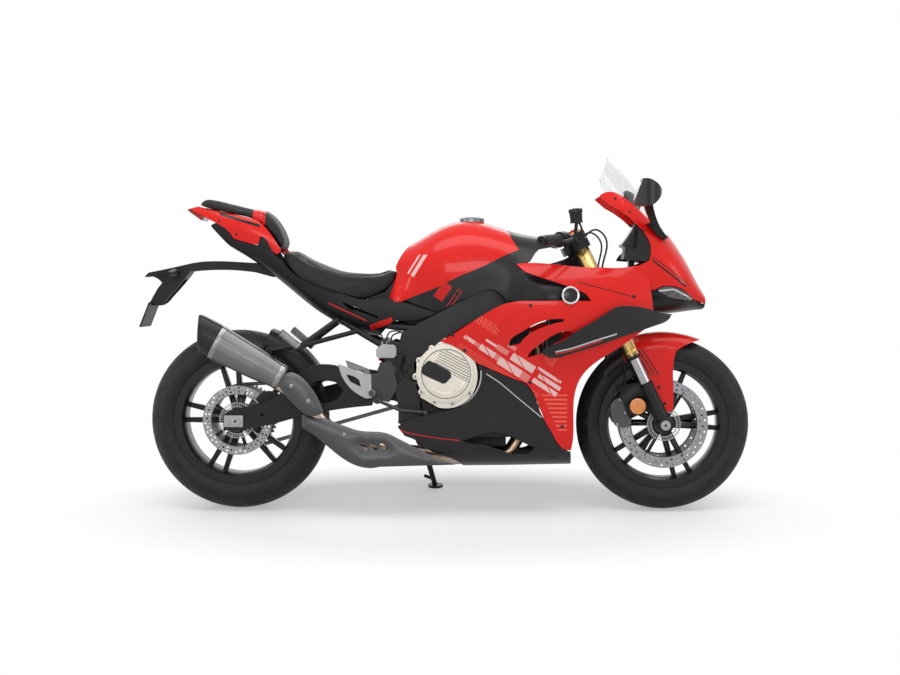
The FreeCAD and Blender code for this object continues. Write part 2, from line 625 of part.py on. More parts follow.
def make_rear_axle():
    """The rear axle with its nut, head, the adjuster blocks and the spacers beside the hub."""
    right_face = RIGHT_ARM_INNER + ARM_WALL
    left_face = LEFT_ARM_INNER + ARM_WALL
    bolt = rod(REAR_AXLE - Y_AXIS * (right_face + 10), REAR_AXLE + Y_AXIS * (left_face + 8), AXLE_RADIUS)
    pieces = [bolt]
    for side, face in ((-1, right_face), (1, left_face)):
        block = box((-40, face, REAR_TYRE_RADIUS - 20), (26, face + 9, REAR_TYRE_RADIUS + 20))
        nut = rod(REAR_AXLE + Y_AXIS * (face + 9), REAR_AXLE + Y_AXIS * (face + 15), 17)
        adjuster = block.fuse(nut)
        pieces.append(adjuster if side > 0 else mirrored(adjuster))
    disc_face = REAR_DISC_OFFSET + DISC_THICKNESS
    pieces.append(rod(REAR_AXLE - Y_AXIS * RIGHT_ARM_INNER, REAR_AXLE - Y_AXIS * (disc_face + 0.6), 17))
    pieces.append(rod(REAR_AXLE + Y_AXIS * (SPROCKET_OFFSET + 0.6), REAR_AXLE + Y_AXIS * LEFT_ARM_INNER,
                      17))
    bore = rod(REAR_AXLE - Y_AXIS * 300, REAR_AXLE + Y_AXIS * 300, AXLE_BORE)
    return joined(pieces).cut(bore)


def make_rear_caliper():
    """The rear caliper over the top of its disc, on a bracket from the swingarm."""
    low = -RIGHT_ARM_INNER + 0.3
    high = -REAR_DISC_OFFSET + 14
    body = slab([[(64, 386), (96, 412), (140, 404)], [(160, 366), (140, 344)], [(96, 352)]], low, high)
    slot = turned([(REAR_DISC_RADIUS + 6, -REAR_DISC_OFFSET - DISC_THICKNESS - 5.2),
                   (REAR_DISC_RADIUS + 6, -REAR_DISC_OFFSET + 5.2), (20, -REAR_DISC_OFFSET + 5.2),
                   (20, -REAR_DISC_OFFSET - DISC_THICKNESS - 5.2)], REAR_AXLE)
    return body.cut(slot)


def make_chain():
    """The drive chain as one fixed loop: two rows of plates, joined by rollers on its straight runs."""
    big = CHAIN_PITCH / 2 / math.sin(math.pi / REAR_TEETH)
    small = CHAIN_PITCH / 2 / math.sin(math.pi / FRONT_TEETH)
    rear = REAR_AXLE
    front = OUTPUT_SHAFT
    span = Vector(front.x - rear.x, 0, front.z - rear.z)
    slope = math.atan2(span.z, span.x)
    spread = math.asin((big - small) / span.Length)

    def on_circle(centre, radius, angle):
        return centre + Vector(radius * math.cos(angle), 0, radius * math.sin(angle))

    top = slope + math.pi / 2 - spread
    low = slope - math.pi / 2 + spread

    def loop(grow, y):
        lift = Y_AXIS * y
        r_big = big + grow
        r_small = small + grow
        points = [on_circle(rear, r_big, top), on_circle(front, r_small, top),
                  on_circle(front, r_small, slope), on_circle(front, r_small, low),
                  on_circle(rear, r_big, low), on_circle(rear, r_big, slope + math.pi)]
        points = [spot + lift for spot in points]
        return Part.Wire([
            Part.LineSegment(points[0], points[1]).toShape(),
            Part.Arc(points[1], points[2], points[3]).toShape(),
            Part.LineSegment(points[3], points[4]).toShape(),
            Part.Arc(points[4], points[5], points[0]).toShape()])

    pieces = []
    inner = SPROCKET_OFFSET - CHAIN_GAP
    outer = SPROCKET_OFFSET + SPROCKET_THICKNESS + CHAIN_GAP
    for y in (inner - CHAIN_PLATE, outer):
        outside = Part.Face(loop(CHAIN_HEIGHT / 2, y)).extrude(Y_AXIS * CHAIN_PLATE)
        inside = Part.Face(loop(-CHAIN_HEIGHT / 2, y)).extrude(Y_AXIS * CHAIN_PLATE)
        pieces.append(outside.cut(inside))
    clear_tip = big * math.tan(spread) + 44
    for start, end in ((on_circle(rear, big, top), on_circle(front, small, top)),
                       (on_circle(rear, big, low), on_circle(front, small, low))):
        run = end - start
        count = int((run.Length - clear_tip) / (2 * CHAIN_PITCH))
        for number in range(count):
            spot = start + run * ((clear_tip + number * 2 * CHAIN_PITCH) / run.Length)
            pieces.append(rod(spot + Y_AXIS * (inner - 0.5), spot + Y_AXIS * (outer + 0.5), 4))
    return joined(pieces)


def make_shock():
    """The rear shock: damper and spring coils as one stepped body behind the engine."""
    low, high = shock_ends()
    middle = low + (high - low) * 0.2
    pin = rod(low - Y_AXIS * SHOCK_ROOM, low + Y_AXIS * SHOCK_ROOM, 9)
    return joined([rod(low, high, 11), rod(middle, high - (high - low) * 0.1, 27), pin])


def shock_ends():
    """The shock's lower pin and its upper end."""
    return point(PIVOT_X - 58, 0, PIVOT_Z - 8), point(PIVOT_X - 88, 0, PIVOT_Z + 146)


def make_hugger():
    """The rear hugger: a short skin over the front of the tyre, on the swingarm."""
    clear = REAR_TYRE_RADIUS + 16
    half = REAR_TYRE_WIDTH / 2 + 5.8
    section = [(clear - 64, half), (clear - 20, half - 8), (clear, half - 34), (clear + 4, 0)]
    outer = [(radius + 3, y + (3 if y > 0 else 0)) for radius, y in section]

    def whole(half_section):
        spots = half_section + [(radius, -y) for radius, y in reversed(half_section[:-1])]
        return [point(radius, y, REAR_AXLE.z) for radius, y in spots]

    outside = whole(outer)
    inside = whole(section)
    face = Part.Face(Part.Wire([curve(outside), curve([outside[-1], inside[-1]]),
                                curve(list(reversed(inside))), curve([inside[0], outside[0]])]))
    face.rotate(REAR_AXLE, Y_AXIS, -24)
    skin = face.revolve(REAR_AXLE, Y_AXIS, -46)
    bosses = [rod(point(x, -half - 1, z), point(x, -RIGHT_ARM_INNER, z), 6) for x,
              z in ((262, 474), (238, 466))]
    return joined([skin] + bosses)


def on_stand_axis(shape):
    """Turn a piece drawn along Y at the stand's hinge onto the hinge's own raised axis."""
    shape.rotate(STAND_HINGE, Vector(1, 0, 0), STAND_AXIS_RISE)
    return shape


def make_stand():
    """The side stand: a cranked leg from the left of the frame, with a foot flat on the floor."""
    hinge = STAND_HINGE
    floor = STAND_FOOT_Y * math.tan(math.radians(LEAN)) - CROWN_LIFT / math.cos(math.radians(LEAN))
    foot = point(hinge.x + 44, STAND_FOOT_Y, floor)
    hub = on_stand_axis(rod(hinge - Y_AXIS, hinge + Y_AXIS * 13, 20))
    out = STAND_TURN.multVec(Y_AXIS)
    knee = hinge + out * 14 + STAND_TURN.multVec(Vector(4, 0, -36))
    ankle = foot + Vector(-2, -4, 7)
    pieces = [hub, rod(hinge + out * 9, knee, 9), Part.makeSphere(11, knee), cone(knee, ankle, 11, 9)]
    pad = Part.makeCylinder(27, 8, Vector(0, 0, 0), Vector(0, 0, 1))
    pad.rotate(Vector(0, 0, 0), Vector(1, 0, 0), LEAN)
    pad.translate(foot)
    pieces.append(pad)
    pieces.append(rod(ankle + Vector(0, -6, 20), ankle + Vector(-38, 12, 32), 6))
    stand = joined(pieces)
    bolt_room = on_stand_axis(joined([rod(hinge - Y_AXIS * 30, hinge + Y_AXIS * 60, 6.4),
                                      rod(hinge + Y_AXIS * 13, hinge + Y_AXIS * 60, 12)]))
    return stand.cut(bolt_room)


def make_stand_bracket():
    """The lug and bolt that carry the side stand, under the left of the gearbox."""
    hinge = STAND_HINGE
    lug = slab([[(hinge.x - 22, hinge.z + 10), (hinge.x, hinge.z - 24), (hinge.x + 22, hinge.z + 10)],
                [(hinge.x + 40, hinge.z + 96)], [(hinge.x - 6, hinge.z + 96)]], hinge.y - 16, hinge.y - 1.4)
    bolt = rod(hinge - Y_AXIS * 8, hinge + Y_AXIS * 16, 6)
    head = rod(hinge + Y_AXIS * 13.4, hinge + Y_AXIS * 20, 10)
    return on_stand_axis(joined([lug, bolt, head]))


# Engine, cooling and exhaust

def make_engine():
    """The engine as one plain block: gearbox, crankcase and forward-tilted cylinders."""
    shaft_room = OUTPUT_SHAFT.x + 62
    crankcase = box((shaft_room, -160, 262), (along(960), 160, 520))
    gearbox = box((PIVOT_X + 44, -160, 284), (shaft_room + 10, 76, 500))
    sump = box((along(760), -110, 226), (along(930), 110, 270))
    cylinders = polygon([(along(800), 500), (along(962), 470), (along(1014), 640), (along(980), 708),
                         (along(846), 700)], -120, 120)
    shaft = rod(OUTPUT_SHAFT + Y_AXIS * 70, OUTPUT_SHAFT + Y_AXIS * SPROCKET_OFFSET, 16)
    small = CHAIN_PITCH / 2 / math.sin(math.pi / FRONT_TEETH)
    width = SPROCKET_THICKNESS + 2 * CHAIN_GAP - 2 * SEAT_GAP
    drive = rod(OUTPUT_SHAFT + Y_AXIS * (SPROCKET_OFFSET - CHAIN_GAP + SEAT_GAP),
                OUTPUT_SHAFT + Y_AXIS * (SPROCKET_OFFSET - CHAIN_GAP + SEAT_GAP + width), small + 2)
    return joined([crankcase, gearbox, sump, cylinders, shaft, drive])


def make_clutch_cover():
    """The right crankcase cover: a cast housing with a raised round clutch face."""
    centre = point(along(726), 0, 481)
    face_radius = 92.0
    housing = slab([[(along(632), 470), (along(640), 530), (along(690), 575), (along(760), 580)],
                    [(along(824), 520), (along(832), 460), (along(800), 392)],
                    [(along(770), 372), (along(700), 366)], [(along(640), 400)]], -206, -160)
    round_face = rod(centre - Y_AXIS * 160, centre - Y_AXIS * 222, face_radius + 8)
    disc = rod(centre - Y_AXIS * 220, centre - Y_AXIS * 234, face_radius)
    cover = joined([housing, round_face, disc])
    groove = turned([(face_radius - 12, -240), (face_radius - 12, -231), (face_radius - 17, -231),
                     (face_radius - 17, -240)], centre)
    return cover.cut(groove)


def make_left_covers():
    """The left engine covers: a round alternator cover, and the cover over the front sprocket."""
    alternator = point(along(740), 0, 478)
    round_cover = joined([rod(alternator + Y_AXIS * 160, alternator + Y_AXIS * 202, 84),
                          cone(alternator + Y_AXIS * 202, alternator + Y_AXIS * 220, 78, 62)])
    neck = box((OUTPUT_SHAFT.x + 50, LEFT_ARM_INNER + 2, alternator.z - 40),
               (alternator.x, 164, alternator.z + 40))
    round_cover = round_cover.fuse(neck)
    x = OUTPUT_SHAFT.x
    z = OUTPUT_SHAFT.z
    lid = slab([[(x - 50, z - 40), (x - 56, z + 20), (x - 20, z + 62)], [(x + 15, z + 62)],
                [(x + 15, z - 60)],
                [(x - 20, z - 62)]], LEFT_ARM_INNER + 2, LEFT_ARM_INNER + 24)
    bridge = box((x + 13, LEFT_ARM_INNER + 2, z - 50), (x + 54, LEFT_ARM_INNER + 24, z + 50))
    return joined([round_cover, lid, bridge])


def make_radiator():
    """The radiator: a leaned core with side tanks, ahead of the cylinders."""
    core = polygon([(along(1056), 400), (along(1090), 392), (along(1122), 690), (along(1088), 698)], -150,
                   150)
    tank = polygon([(along(1050), 404), (along(1096), 392), (along(1128), 686), (along(1082), 698)], 150,
                   174)
    bracket = rod(point(along(1094), -104, 680), point(along(1080), -104, 800), 8)
    return joined([core] + both_sides(tank) + both_sides(bracket))


def make_exhaust():
    """Four headers down to a collector under the engine, then the link pipe to the silencer."""
    pipes = []
    for y in (-84, -28, 28, 84):
        near = 0.55 * y - 50
        pipes.append(bent_tube([point(along(1002), y, 600), point(along(1044), y, 560),
                                point(along(1024), y, 330), point(along(940), near, 198),
                                point(along(770), near * 0.7 - 12, 196)], 19, 40))
    collector = rod(point(along(780), -56, 196), point(along(690), -72, 192), 37)
    link = bent_tube([point(along(695), -72, 192), point(520, -106, 212), point(330, -122, 272),
                      point(244, -178, 392), point(150, -190, 450)], 26, 70)
    return joined(pipes + [collector, link])


def make_silencer():
    """The silencer: a lofted six-sided can on its axis, with a sunk outlet in its end cap."""
    rear = point(-88, -190, 603)
    front = point(172, -190, 462)
    axis = (front - rear).normalize()
    up = Vector(-axis.z, 0, axis.x)

    def section(spot, tall, wide):
        corners = [(0.5, 0.28), (0.16, 0.5), (-0.22, 0.5), (-0.5, 0.2), (-0.5, -0.2), (-0.22, -0.5),
                   (0.16, -0.5),
                   (0.5, -0.28)]
        spots = [spot + up * (tall * a) + Y_AXIS * (wide * b) for a, b in corners]
        return Part.makePolygon(spots + [spots[0]])

    body = Part.makeLoft([section(rear, 126, 104), section(rear + axis * 200, 104, 96),
                          section(front, 82, 80)],
                         True, True)
    outlet = rod(rear - axis * 10 + up * 8, rear + axis * 60 + up * 8, 24)
    inlet_room = rod(front - axis * 40, front + axis * 60, 27)
    body = body.cut(outlet).cut(inlet_room)
    return body


def make_exhaust_shields():
    """Dark heat shields on the right: one over the collector, one over the link pipe."""
    collector = slab([[(233, 337), (262, 341), (295, 332), (380, 299), (440, 282), (500, 279), (551, 262)],
                      [(629, 222), (700, 188), (756, 168)], [(500, 160)],
                      [(414, 166), (330, 222), (233, 293)]],
                     -SHIELD_OUT, -SHIELD_OUT + 6)
    slots = []
    for step in range(3):
        x = 430 + 34 * step
        slots.append(polygon([(x, 236), (x + 8, 244), (x + 30, 222), (x + 22, 214)], -260, -100))
    collector = collector.cut(Part.makeCompound(slots))
    bosses = [rod(point(x, -110, z), point(x, 6 - SHIELD_OUT, z), 9) for x, z in ((560, 200), (350, 262))]
    collector = joined([collector] + bosses)
    link = slab([[(158, 440), (180, 478), (206, 485)], [(229, 475), (270, 434), (297, 390), (311, 349)],
                 [(291, 339), (229, 359)], [(190, 398)]], -236, -229)
    link = joined([link, rod(point(236, -200, 398), point(236, -229, 398), 9)])
    return collector, link


# Bodywork

def half_section(x, top, widths, bottom):
    """One station of the bodywork: X, then (half width, height) from top middle to bottom middle."""
    return along(x), [(0, top)] + widths + [(0, bottom)]


SIDE_STATIONS = [
    half_section(500, 930, [(96, 900), (182, 780), (200, 640), (196, 500), (172, 340), (122, 190)], 140),
    half_section(700, 940, [(110, 915), (222, 790), (238, 650), (212, 500), (184, 340), (140, 190)], 150),
    half_section(900, 940, [(120, 915), (244, 800), (262, 670), (222, 510), (188, 340), (142, 190)], 152),
    half_section(1100, 940, [(120, 915), (240, 810), (266, 680), (230, 520), (190, 340), (132, 190)], 156),
    half_section(1260, 950, [(110, 925), (206, 830), (240, 700), (226, 540), (190, 340), (118, 190)], 160),
    half_section(1400, 960, [(90, 930), (160, 840), (196, 710), (196, 560), (160, 340), (96, 200)], 170),
    half_section(1560, 940, [(60, 915), (104, 840), (126, 720), (130, 580), (100, 360), (60, 220)], 190)]

NOSE_STATIONS = [
    half_section(1220, 1250, [(70, 1215), (118, 1110), (152, 980), (170, 860), (168, 760), (120, 690)],
                 660),
    half_section(1340, 1170, [(72, 1140), (126, 1080), (160, 970), (176, 860), (172, 760), (122, 690)],
                 660),
    half_section(1430, 1036, [(66, 1020), (124, 975), (158, 905), (168, 830), (160, 760), (116, 694)], 668),
    half_section(1510, 930, [(58, 920), (110, 890), (142, 845), (148, 795), (136, 750), (96, 700)], 676),
    half_section(1570, 832, [(46, 826), (84, 808), (106, 785), (110, 762), (98, 738), (64, 704)], 684),
    half_section(1618, 748, [(28, 745), (50, 738), (62, 730), (62, 720), (52, 708), (30, 694)], 688)]

TANK_STATIONS = [
    half_section(520, 806, [(38, 800), (70, 775), (82, 740), (84, 700), (80, 660), (60, 630)], 620),
    half_section(600, 922, [(52, 912), (104, 868), (122, 806), (122, 730), (112, 670), (80, 630)], 620),
    half_section(700, 980, [(64, 970), (128, 920), (150, 850), (150, 760), (138, 680), (100, 640)], 624),
    half_section(820, 1003, [(70, 992), (140, 940), (166, 860), (168, 770), (156, 690), (110, 644)], 630),
    half_section(930, 972, [(70, 964), (136, 922), (164, 856), (172, 780), (166, 700), (120, 650)], 640),
    half_section(1010, 952, [(62, 946), (120, 914), (166, 850), (204, 784), (206, 706), (140, 660)], 650),
    half_section(1110, 926, [(50, 920), (104, 894), (170, 838), (234, 786), (246, 715), (150, 664)], 658),
    half_section(1230, 905, [(46, 899), (100, 874), (162, 828), (214, 780), (236, 715), (150, 668)], 662)]

TAIL_STATIONS = [
    half_section(-180, 1050, [(18, 1049), (34, 1042), (42, 1030), (42, 1016), (34, 1004), (18, 998)], 996),
    half_section(-60, 1062, [(30, 1058), (66, 1040), (84, 1010), (84, 970), (70, 940), (36, 930)], 928),
    half_section(60, 1046, [(40, 1041), (88, 1020), (108, 980), (108, 925), (96, 880), (50, 862)], 858),
    half_section(170, 1010, [(46, 1000), (98, 970), (120, 920), (122, 860), (110, 810), (60, 780)], 774),
    half_section(300, 900, [(46, 895), (100, 870), (126, 820), (130, 760), (118, 710), (60, 680)], 672),
    half_section(440, 860, [(44, 852), (96, 826), (124, 780), (130, 720), (122, 660), (66, 620)], 612),
    half_section(600, 850, [(44, 842), (96, 816), (128, 770), (136, 710), (130, 650), (70, 610)], 602),
    half_section(700, 840, [(44, 832), (96, 806), (130, 765), (140, 705), (134, 645), (70, 605)], 597)]


def shell(stations, wall):
    """The skin of a lofted form, wall thick."""
    return body_form(stations).cut(body_form(stations, wall))


def make_tank():
    """The tank and the covers around it, cut from one form by the panel lines."""
    form = body_form(TANK_STATIONS)
    tank_outline = slab(drawn(
        [(502, 739), (533, 772), (552, 808), (549, 842)],
        [(564, 875), (595, 917), (630, 948), (682, 976), (735, 993), (800, 1010), (882, 1000), (931, 976)],
        [(957, 925)], [(974, 900)],
        [(909, 873), (841, 839), (772, 811), (704, 777), (636, 750), (574, 724)], [(548, 722)]), -260, 260)
    cover_outline = slab(drawn(
        [(933, 974), (1000, 965), (1066, 942)], [(1047, 908), (1023, 884)], [(976, 898)], [(959, 923)]),
        -260, 260)
    trim_outline = slab(drawn(
        [(574, 734), (636, 756), (704, 783), (772, 817), (841, 845), (909, 880), (974, 906)],
        [(1030, 890)], [(1011, 859)], [(963, 849)],
        [(990, 825), (1082, 793), (1160, 765), (1197, 746)], [(1212, 728)],
        [(1120, 729), (967, 726), (930, 724)], [(898, 760), (875, 766)],
        [(824, 750), (756, 718)], [(691, 684)]), -260, 260)
    hollow = body_form(TANK_STATIONS, PANEL + 5)
    tank = form.common(tank_outline)
    underside = box((along(640), -104, 560), (along(1130), 104, 800))
    tank = tank.cut(underside)
    cap = joined([rod(point(along(812), 0, 980), point(along(812), 0, 1010), 42),
                  rod(point(along(812), 0, 1008), point(along(812), 0, 1014), 34)]).cut(tank)
    cover = form.common(cover_outline).cut(hollow)
    trims = form.common(trim_outline).cut(tank_outline).cut(cover_outline).cut(hollow)
    trims = trims.cut(box((0, -100, 0), (3000, 100, 2000)))
    return tank.fuse(cap), cover, trims


def make_side_fairing():
    """The right side fairing: upper strip, main panel and leading edge, with two raked vents."""
    skin = shell(SIDE_STATIONS, PANEL)
    outline = slab(drawn(
        [(707, 592), (757, 619), (841, 673), (909, 712)], [(942, 722), (1009, 727)],
        [(1120, 728)], [(1214, 726)], [(1199, 747), (1162, 766), (1083, 794), (991, 826)], [(963, 851)],
        [(1009, 855), (1110, 848), (1245, 841)], [(1305, 838), (1362, 844)], [(1406, 850)],
        [(1420, 760), (1430, 653)],
        [(1380, 619), (1313, 572), (1245, 530), (1205, 498), (1178, 462)],
        [(1163, 420), (1158, 330), (1151, 216)],
        [(1120, 226), (1103, 246), (1077, 293)], [(1043, 367), (1019, 421), (993, 451)],
        [(925, 476), (875, 498), (835, 515)], [(784, 555), (757, 572), (707, 589)]), -320, 0)
    panel = skin.common(outline)
    vents = [
        slab(drawn([(940, 575), (944, 597), (976, 620), (1026, 650), (1059, 662), (1122, 666)],
                   [(1122, 658)], [(1076, 648), (1043, 636), (1009, 618), (976, 584)]), -320, 0),
        slab(drawn([(1000, 537), (1011, 556), (1043, 582), (1076, 606), (1110, 622), (1152, 624)],
                   [(1152, 615)], [(1110, 594), (1069, 570), (1043, 548)]), -320, 0)]
    return panel.cut(Part.makeCompound(vents))


def make_deflector():
    """A winglet-like air deflector standing off the fairing's leading edge."""
    outer = slab(drawn([(1046, 553), (1062, 569), (1109, 589), (1159, 622), (1209, 652), (1242, 672),
                        (1282, 699)],
                       [(1309, 709), (1343, 710), (1393, 704), (1443, 690), (1490, 682)],
                       [(1469, 657), (1443, 647), (1376, 625), (1309, 604), (1242, 580), (1176, 560),
                        (1109, 538)],
                       [(1075, 536)]), -330, 0)
    proud = body_form(SIDE_STATIONS, -22).cut(body_form(SIDE_STATIONS, -0.2))
    return outer.common(proud)


def make_belly_pan():
    """The belly pan: a trough under the engine, cut round the clutch cover, with side windows."""
    skin = shell(SIDE_STATIONS, PANEL)
    right = slab(drawn(
        [(560, 296), (585, 316), (625, 330), (656, 338)],
        [(706, 350), (757, 362), (791, 380), (821, 412), (838, 450), (841, 487), (835, 511)],
        [(875, 495), (925, 473), (990, 449)], [(1016, 419), (1040, 366), (1074, 292)],
        [(1101, 244), (1118, 223), (1150, 213)], [(1155, 159)], [(1073, 120)], [(790, 120)],
        [(756, 180), (704, 200), (653, 231)],
        [(619, 252), (585, 265)]), -320, 320)
    window = slab(drawn([(780, 250), (824, 264), (892, 280), (936, 270), (977, 250), (1030, 226)],
                        [(1011, 206), (909, 218), (824, 236)]), -320, 320)
    pan = skin.common(right).cut(window)
    return pan


def make_front_cowl():
    """The front cowl: nose, screen stays and side faces, open over the cockpit and the headlights."""
    skin = shell(NOSE_STATIONS, PANEL)
    outline = slab(drawn(
        [(1246, 1084), (1262, 1094)], [(1287, 1098), (1339, 1073), (1390, 1031), (1435, 990)],
        [(1442, 968), (1470, 934)], [(1500, 960)], [(1600, 900)], [(1660, 690)],
        [(1600, 722), (1584, 728)], [(1561, 741), (1540, 761), (1499, 776), (1465, 778)],
        [(1441, 768), (1431, 761)], [(1407, 777), (1365, 815)],
        [(1361, 838)], [(1414, 862)], [(1419, 917), (1395, 961)],
        [(1385, 974), (1334, 1022), (1283, 1053)]),
        -260, 260)
    return skin.common(outline)


def make_headlights():
    """Two slim lenses under the nose, set in a dark surround with a chin and side wings."""
    form = body_form(NOSE_STATIONS, 7)
    lens_outline = slab(drawn([(1443, 764), (1466, 774), (1500, 773), (1540, 758), (1563, 738)],
                              [(1572, 733)],
                              [(1555, 729), (1511, 731), (1466, 749)]), -260, 260)
    lens = form.common(lens_outline).cut(body_form(NOSE_STATIONS, 22))
    lens = lens.cut(box((1300, -26, 600), (1800, 26, 900)))
    chin_outline = slab(drawn(
        [(1370, 782), (1406, 766)], [(1430, 758), (1440, 760)], [(1466, 748), (1511, 729), (1555, 727)],
        [(1574, 731)], [(1590, 722), (1625, 716)], [(1603, 691), (1560, 684), (1515, 681)],
        [(1459, 688), (1411, 719)]), -260, 260)
    chin = form.common(chin_outline).cut(body_form(NOSE_STATIONS, 12))
    backing = body_form(NOSE_STATIONS, 22).common(slab(drawn(
        [(1480, 800), (1552, 742)], [(1552, 700)], [(1470, 700)]), -110, 110))
    return lens, joined([chin, backing])


def arched_sheet(stations, wall):
    """A thin sheet arched across the bike, lofted through (x, z, half width, back, drop) stations."""
    wires = []
    for x, z, half, back, drop in stations:
        outer = []
        inner = []
        for share in (-1, -0.6, 0, 0.6, 1):
            bow = abs(share) ** 2.2
            spot = point(along(x) - back * bow, half * share, z - drop * bow)
            outer.append(spot)
            inner.append(spot - Vector(wall * 0.7, wall * 0.6 * share, wall * 0.7))
        inner.reverse()
        wires.append(Part.Wire([curve(outer), curve([outer[-1], inner[0]]), curve(inner),
                                curve([inner[-1], outer[0]])]))
    return Part.makeLoft(wires, True, False)


def make_windscreen(cowl):
    """The clear screen: an arched sheet narrowing to its top, trimmed along the stays."""
    sheet = arched_sheet([(1280, 1228, 36, 8, 8), (1318, 1187, 96, 50, 44), (1382, 1113, 132, 62, 56),
                          (1440, 1030, 140, 62, 60), (1500, 944, 134, 60, 60), (1540, 886, 120, 60, 50)],
                          SCREEN_WALL)
    outline = slab(drawn(
        [(1400, 1140), (1500, 1000), (1520, 930)], [(1478, 930), (1440, 980)],
        [(1390, 1026), (1339, 1066), (1287, 1090)], [(1244, 1094)], [(1247, 1108), (1263, 1158)],
        [(1284, 1222)]), -260, 260)
    return sheet.common(outline).cut(cowl)


def make_dashboard():
    """The cockpit: a dash panel with a hooded screen, and side trays down to the fairing."""
    dash = polygon([(along(1328), 916), (along(1342), 908), (along(1392), 986), (along(1378), 994)], -86,
                   86)
    housing = slab(drawn([(1336, 872), (1342, 908)], [(1388, 984)], [(1398, 978), (1414, 940), (1420, 890)],
                         [(1412, 866)]), -74, 74)
    stay = box((along(1356), -30, 780), (along(1376), 30, 900))
    crossbar = slab(drawn([(1344, 776), (1380, 776)], [(1380, 796)], [(1344, 796)]), -260, 260)
    crossbar = crossbar.common(body_form(SIDE_STATIONS, PANEL))
    deck = slab(drawn([(1376, 864), (1412, 864)], [(1412, 882)], [(1376, 882)]), -260, 260)
    deck = deck.common(body_form(NOSE_STATIONS, PANEL))
    keel = box((along(1370), -40, 744), (along(1490), 40, 790))
    lining_outline = slab(drawn(
        [(1326, 866), (1336, 884), (1372, 906)], [(1378, 976)], [(1370, 998)],
        [(1386, 990), (1408, 960), (1428, 920), (1426, 858)]), -260, 260)
    lining = body_form(NOSE_STATIONS, PANEL).cut(body_form(NOSE_STATIONS, PANEL + 4)).common(lining_outline)
    return joined([dash, housing, stay, crossbar, deck, keel, lining])


def make_mirrors():
    """The mirrors on their swept stalks, standing on the nose."""
    pieces = []
    for side in (-1, 1):
        head_outline = slab(drawn([(1374, 1129), (1344, 1048)], [(1364, 1043), (1400, 1040)],
                                  [(1424, 1056), (1440, 1092), (1420, 1117), (1390, 1129)]), 285, 385)
        head = head_outline.common(mirror_plan())
        leaf = slab(drawn([(1390, 1053), (1404, 1022), (1420, 994)], [(1406, 988)],
                          [(1420, 976), (1440, 954), (1469, 935)], [(1481, 943)],
                          [(1458, 968), (1438, 1003), (1412, 1067)], [(1404, 1090)], [(1384, 1080)]), 90,
                          320)
        stalk = leaf.common(mirror_sweep())
        one = joined([head, stalk]).cut(body_form(NOSE_STATIONS, -0.1))
        pieces.append(one if side > 0 else mirrored(one))
    return Part.makeCompound(pieces)


def mirror_plan():
    """The mirror head seen from above: a thin glass side facing back, a rounded front."""
    return plan_prism([[(along(1340), 294), (along(1352), 384)],
                       [(along(1400), 380), (along(1438), 340), (along(1436), 304)],
                       [(along(1410), 288), (along(1370), 286)]], 1000, 1160)


def mirror_sweep():
    """The mirror stalk seen from ahead: steep at its foot, then swept out to the head."""
    runs = [[(96, 925), (124, 925), (152, 962), (184, 1004), (316, 1050)], [(316, 1086)],
            [(282, 1084), (166, 1026), (130, 994), (96, 960)]]
    wire = closed_wire(runs, lambda spot: point(1200, spot[0], spot[1]))
    return Part.Face(wire).extrude(Vector(400, 0, 0))


# Seat, tail and plate holder

def make_seats():
    """The rider's seat and the pillion pad as plain padded solids."""
    rider_side = slab([[(166, 894), (182, 902), (223, 882), (292, 848), (360, 824), (430, 816), (498, 819),
                        (528, 832)],
                       [(546, 832), (548, 800), (538, 786)],
                       [(515, 763), (481, 745), (446, 734), (395, 739)],
                       [(326, 760), (258, 786), (213, 812), (179, 846), (163, 874)]], -160, 160)
    rider_plan = plan_prism([[(150, -96), (260, -138), (360, -140), (460, -96), (552, -70)], [(552, 70)],
                             [(460, 96), (360, 140), (260, 138), (150, 96)]], 600, 1000)
    rider = rider_side.common(rider_plan)
    pillion_side = slab([[(-134, 1056), (-124, 1071), (-100, 1075)], [(-40, 1062), (50, 1040), (100, 1032)],
                         [(134, 1000), (156, 958), (165, 928)], [(158, 905)],
                         [(136, 934), (100, 980), (72, 1004)],
                         [(50, 1012), (-40, 1034)]], -120, 120)
    pillion_plan = plan_prism([[(-140, -46), (-60, -84), (60, -98), (166, -92)], [(166, 92)],
                               [(60, 98), (-60, 84), (-140, 46)]], 800, 1100)
    pillion = pillion_side.common(pillion_plan)
    return rider, pillion


def make_tail():
    """The tail: a red cowl under the pillion pad, with a side brace down to the seat."""
    skin = shell(TAIL_STATIONS, PANEL)
    outline = slab([[(-168, 1044), (-142, 1054)], [(-40, 1032), (50, 1010), (74, 1002)],
                    [(104, 976), (134, 938), (158, 900)], [(140, 888), (126, 901), (96, 944), (84, 946)],
                    [(78, 918)], [(33, 928), (-11, 942)], [(-25, 963), (-70, 994), (-121, 1021)]], -200,
                    200)
    return skin.common(outline)


def make_seat_trims():
    """Grey trims along the seat rails, and the undertray that joins them behind."""
    skin = shell(TAIL_STATIONS, PANEL)
    outline = slab([[(-92, 986), (-70, 996), (-13, 940)], [(32, 926), (76, 916)], [(85, 943)],
                    [(97, 942), (127, 899), (158, 868)],
                    [(187, 832), (221, 805), (290, 778), (360, 753), (428, 730)], [(479, 730)],
                    [(516, 736)],
                    [(572, 722), (620, 708)], [(690, 686)], [(650, 668), (590, 658), (552, 660)],
                    [(520, 640), (469, 557)],
                    [(434, 591), (393, 615), (324, 660)], [(290, 681), (221, 725), (152, 763), (90, 801)],
                    [(49, 839), (-20, 908), (-88, 980)]], -200, 200)
    slot = slab([[(365, 724), (420, 702), (488, 674)], [(492, 666)], [(474, 658)], [(396, 694)]], -200, 200)
    return skin.common(outline).cut(slot)


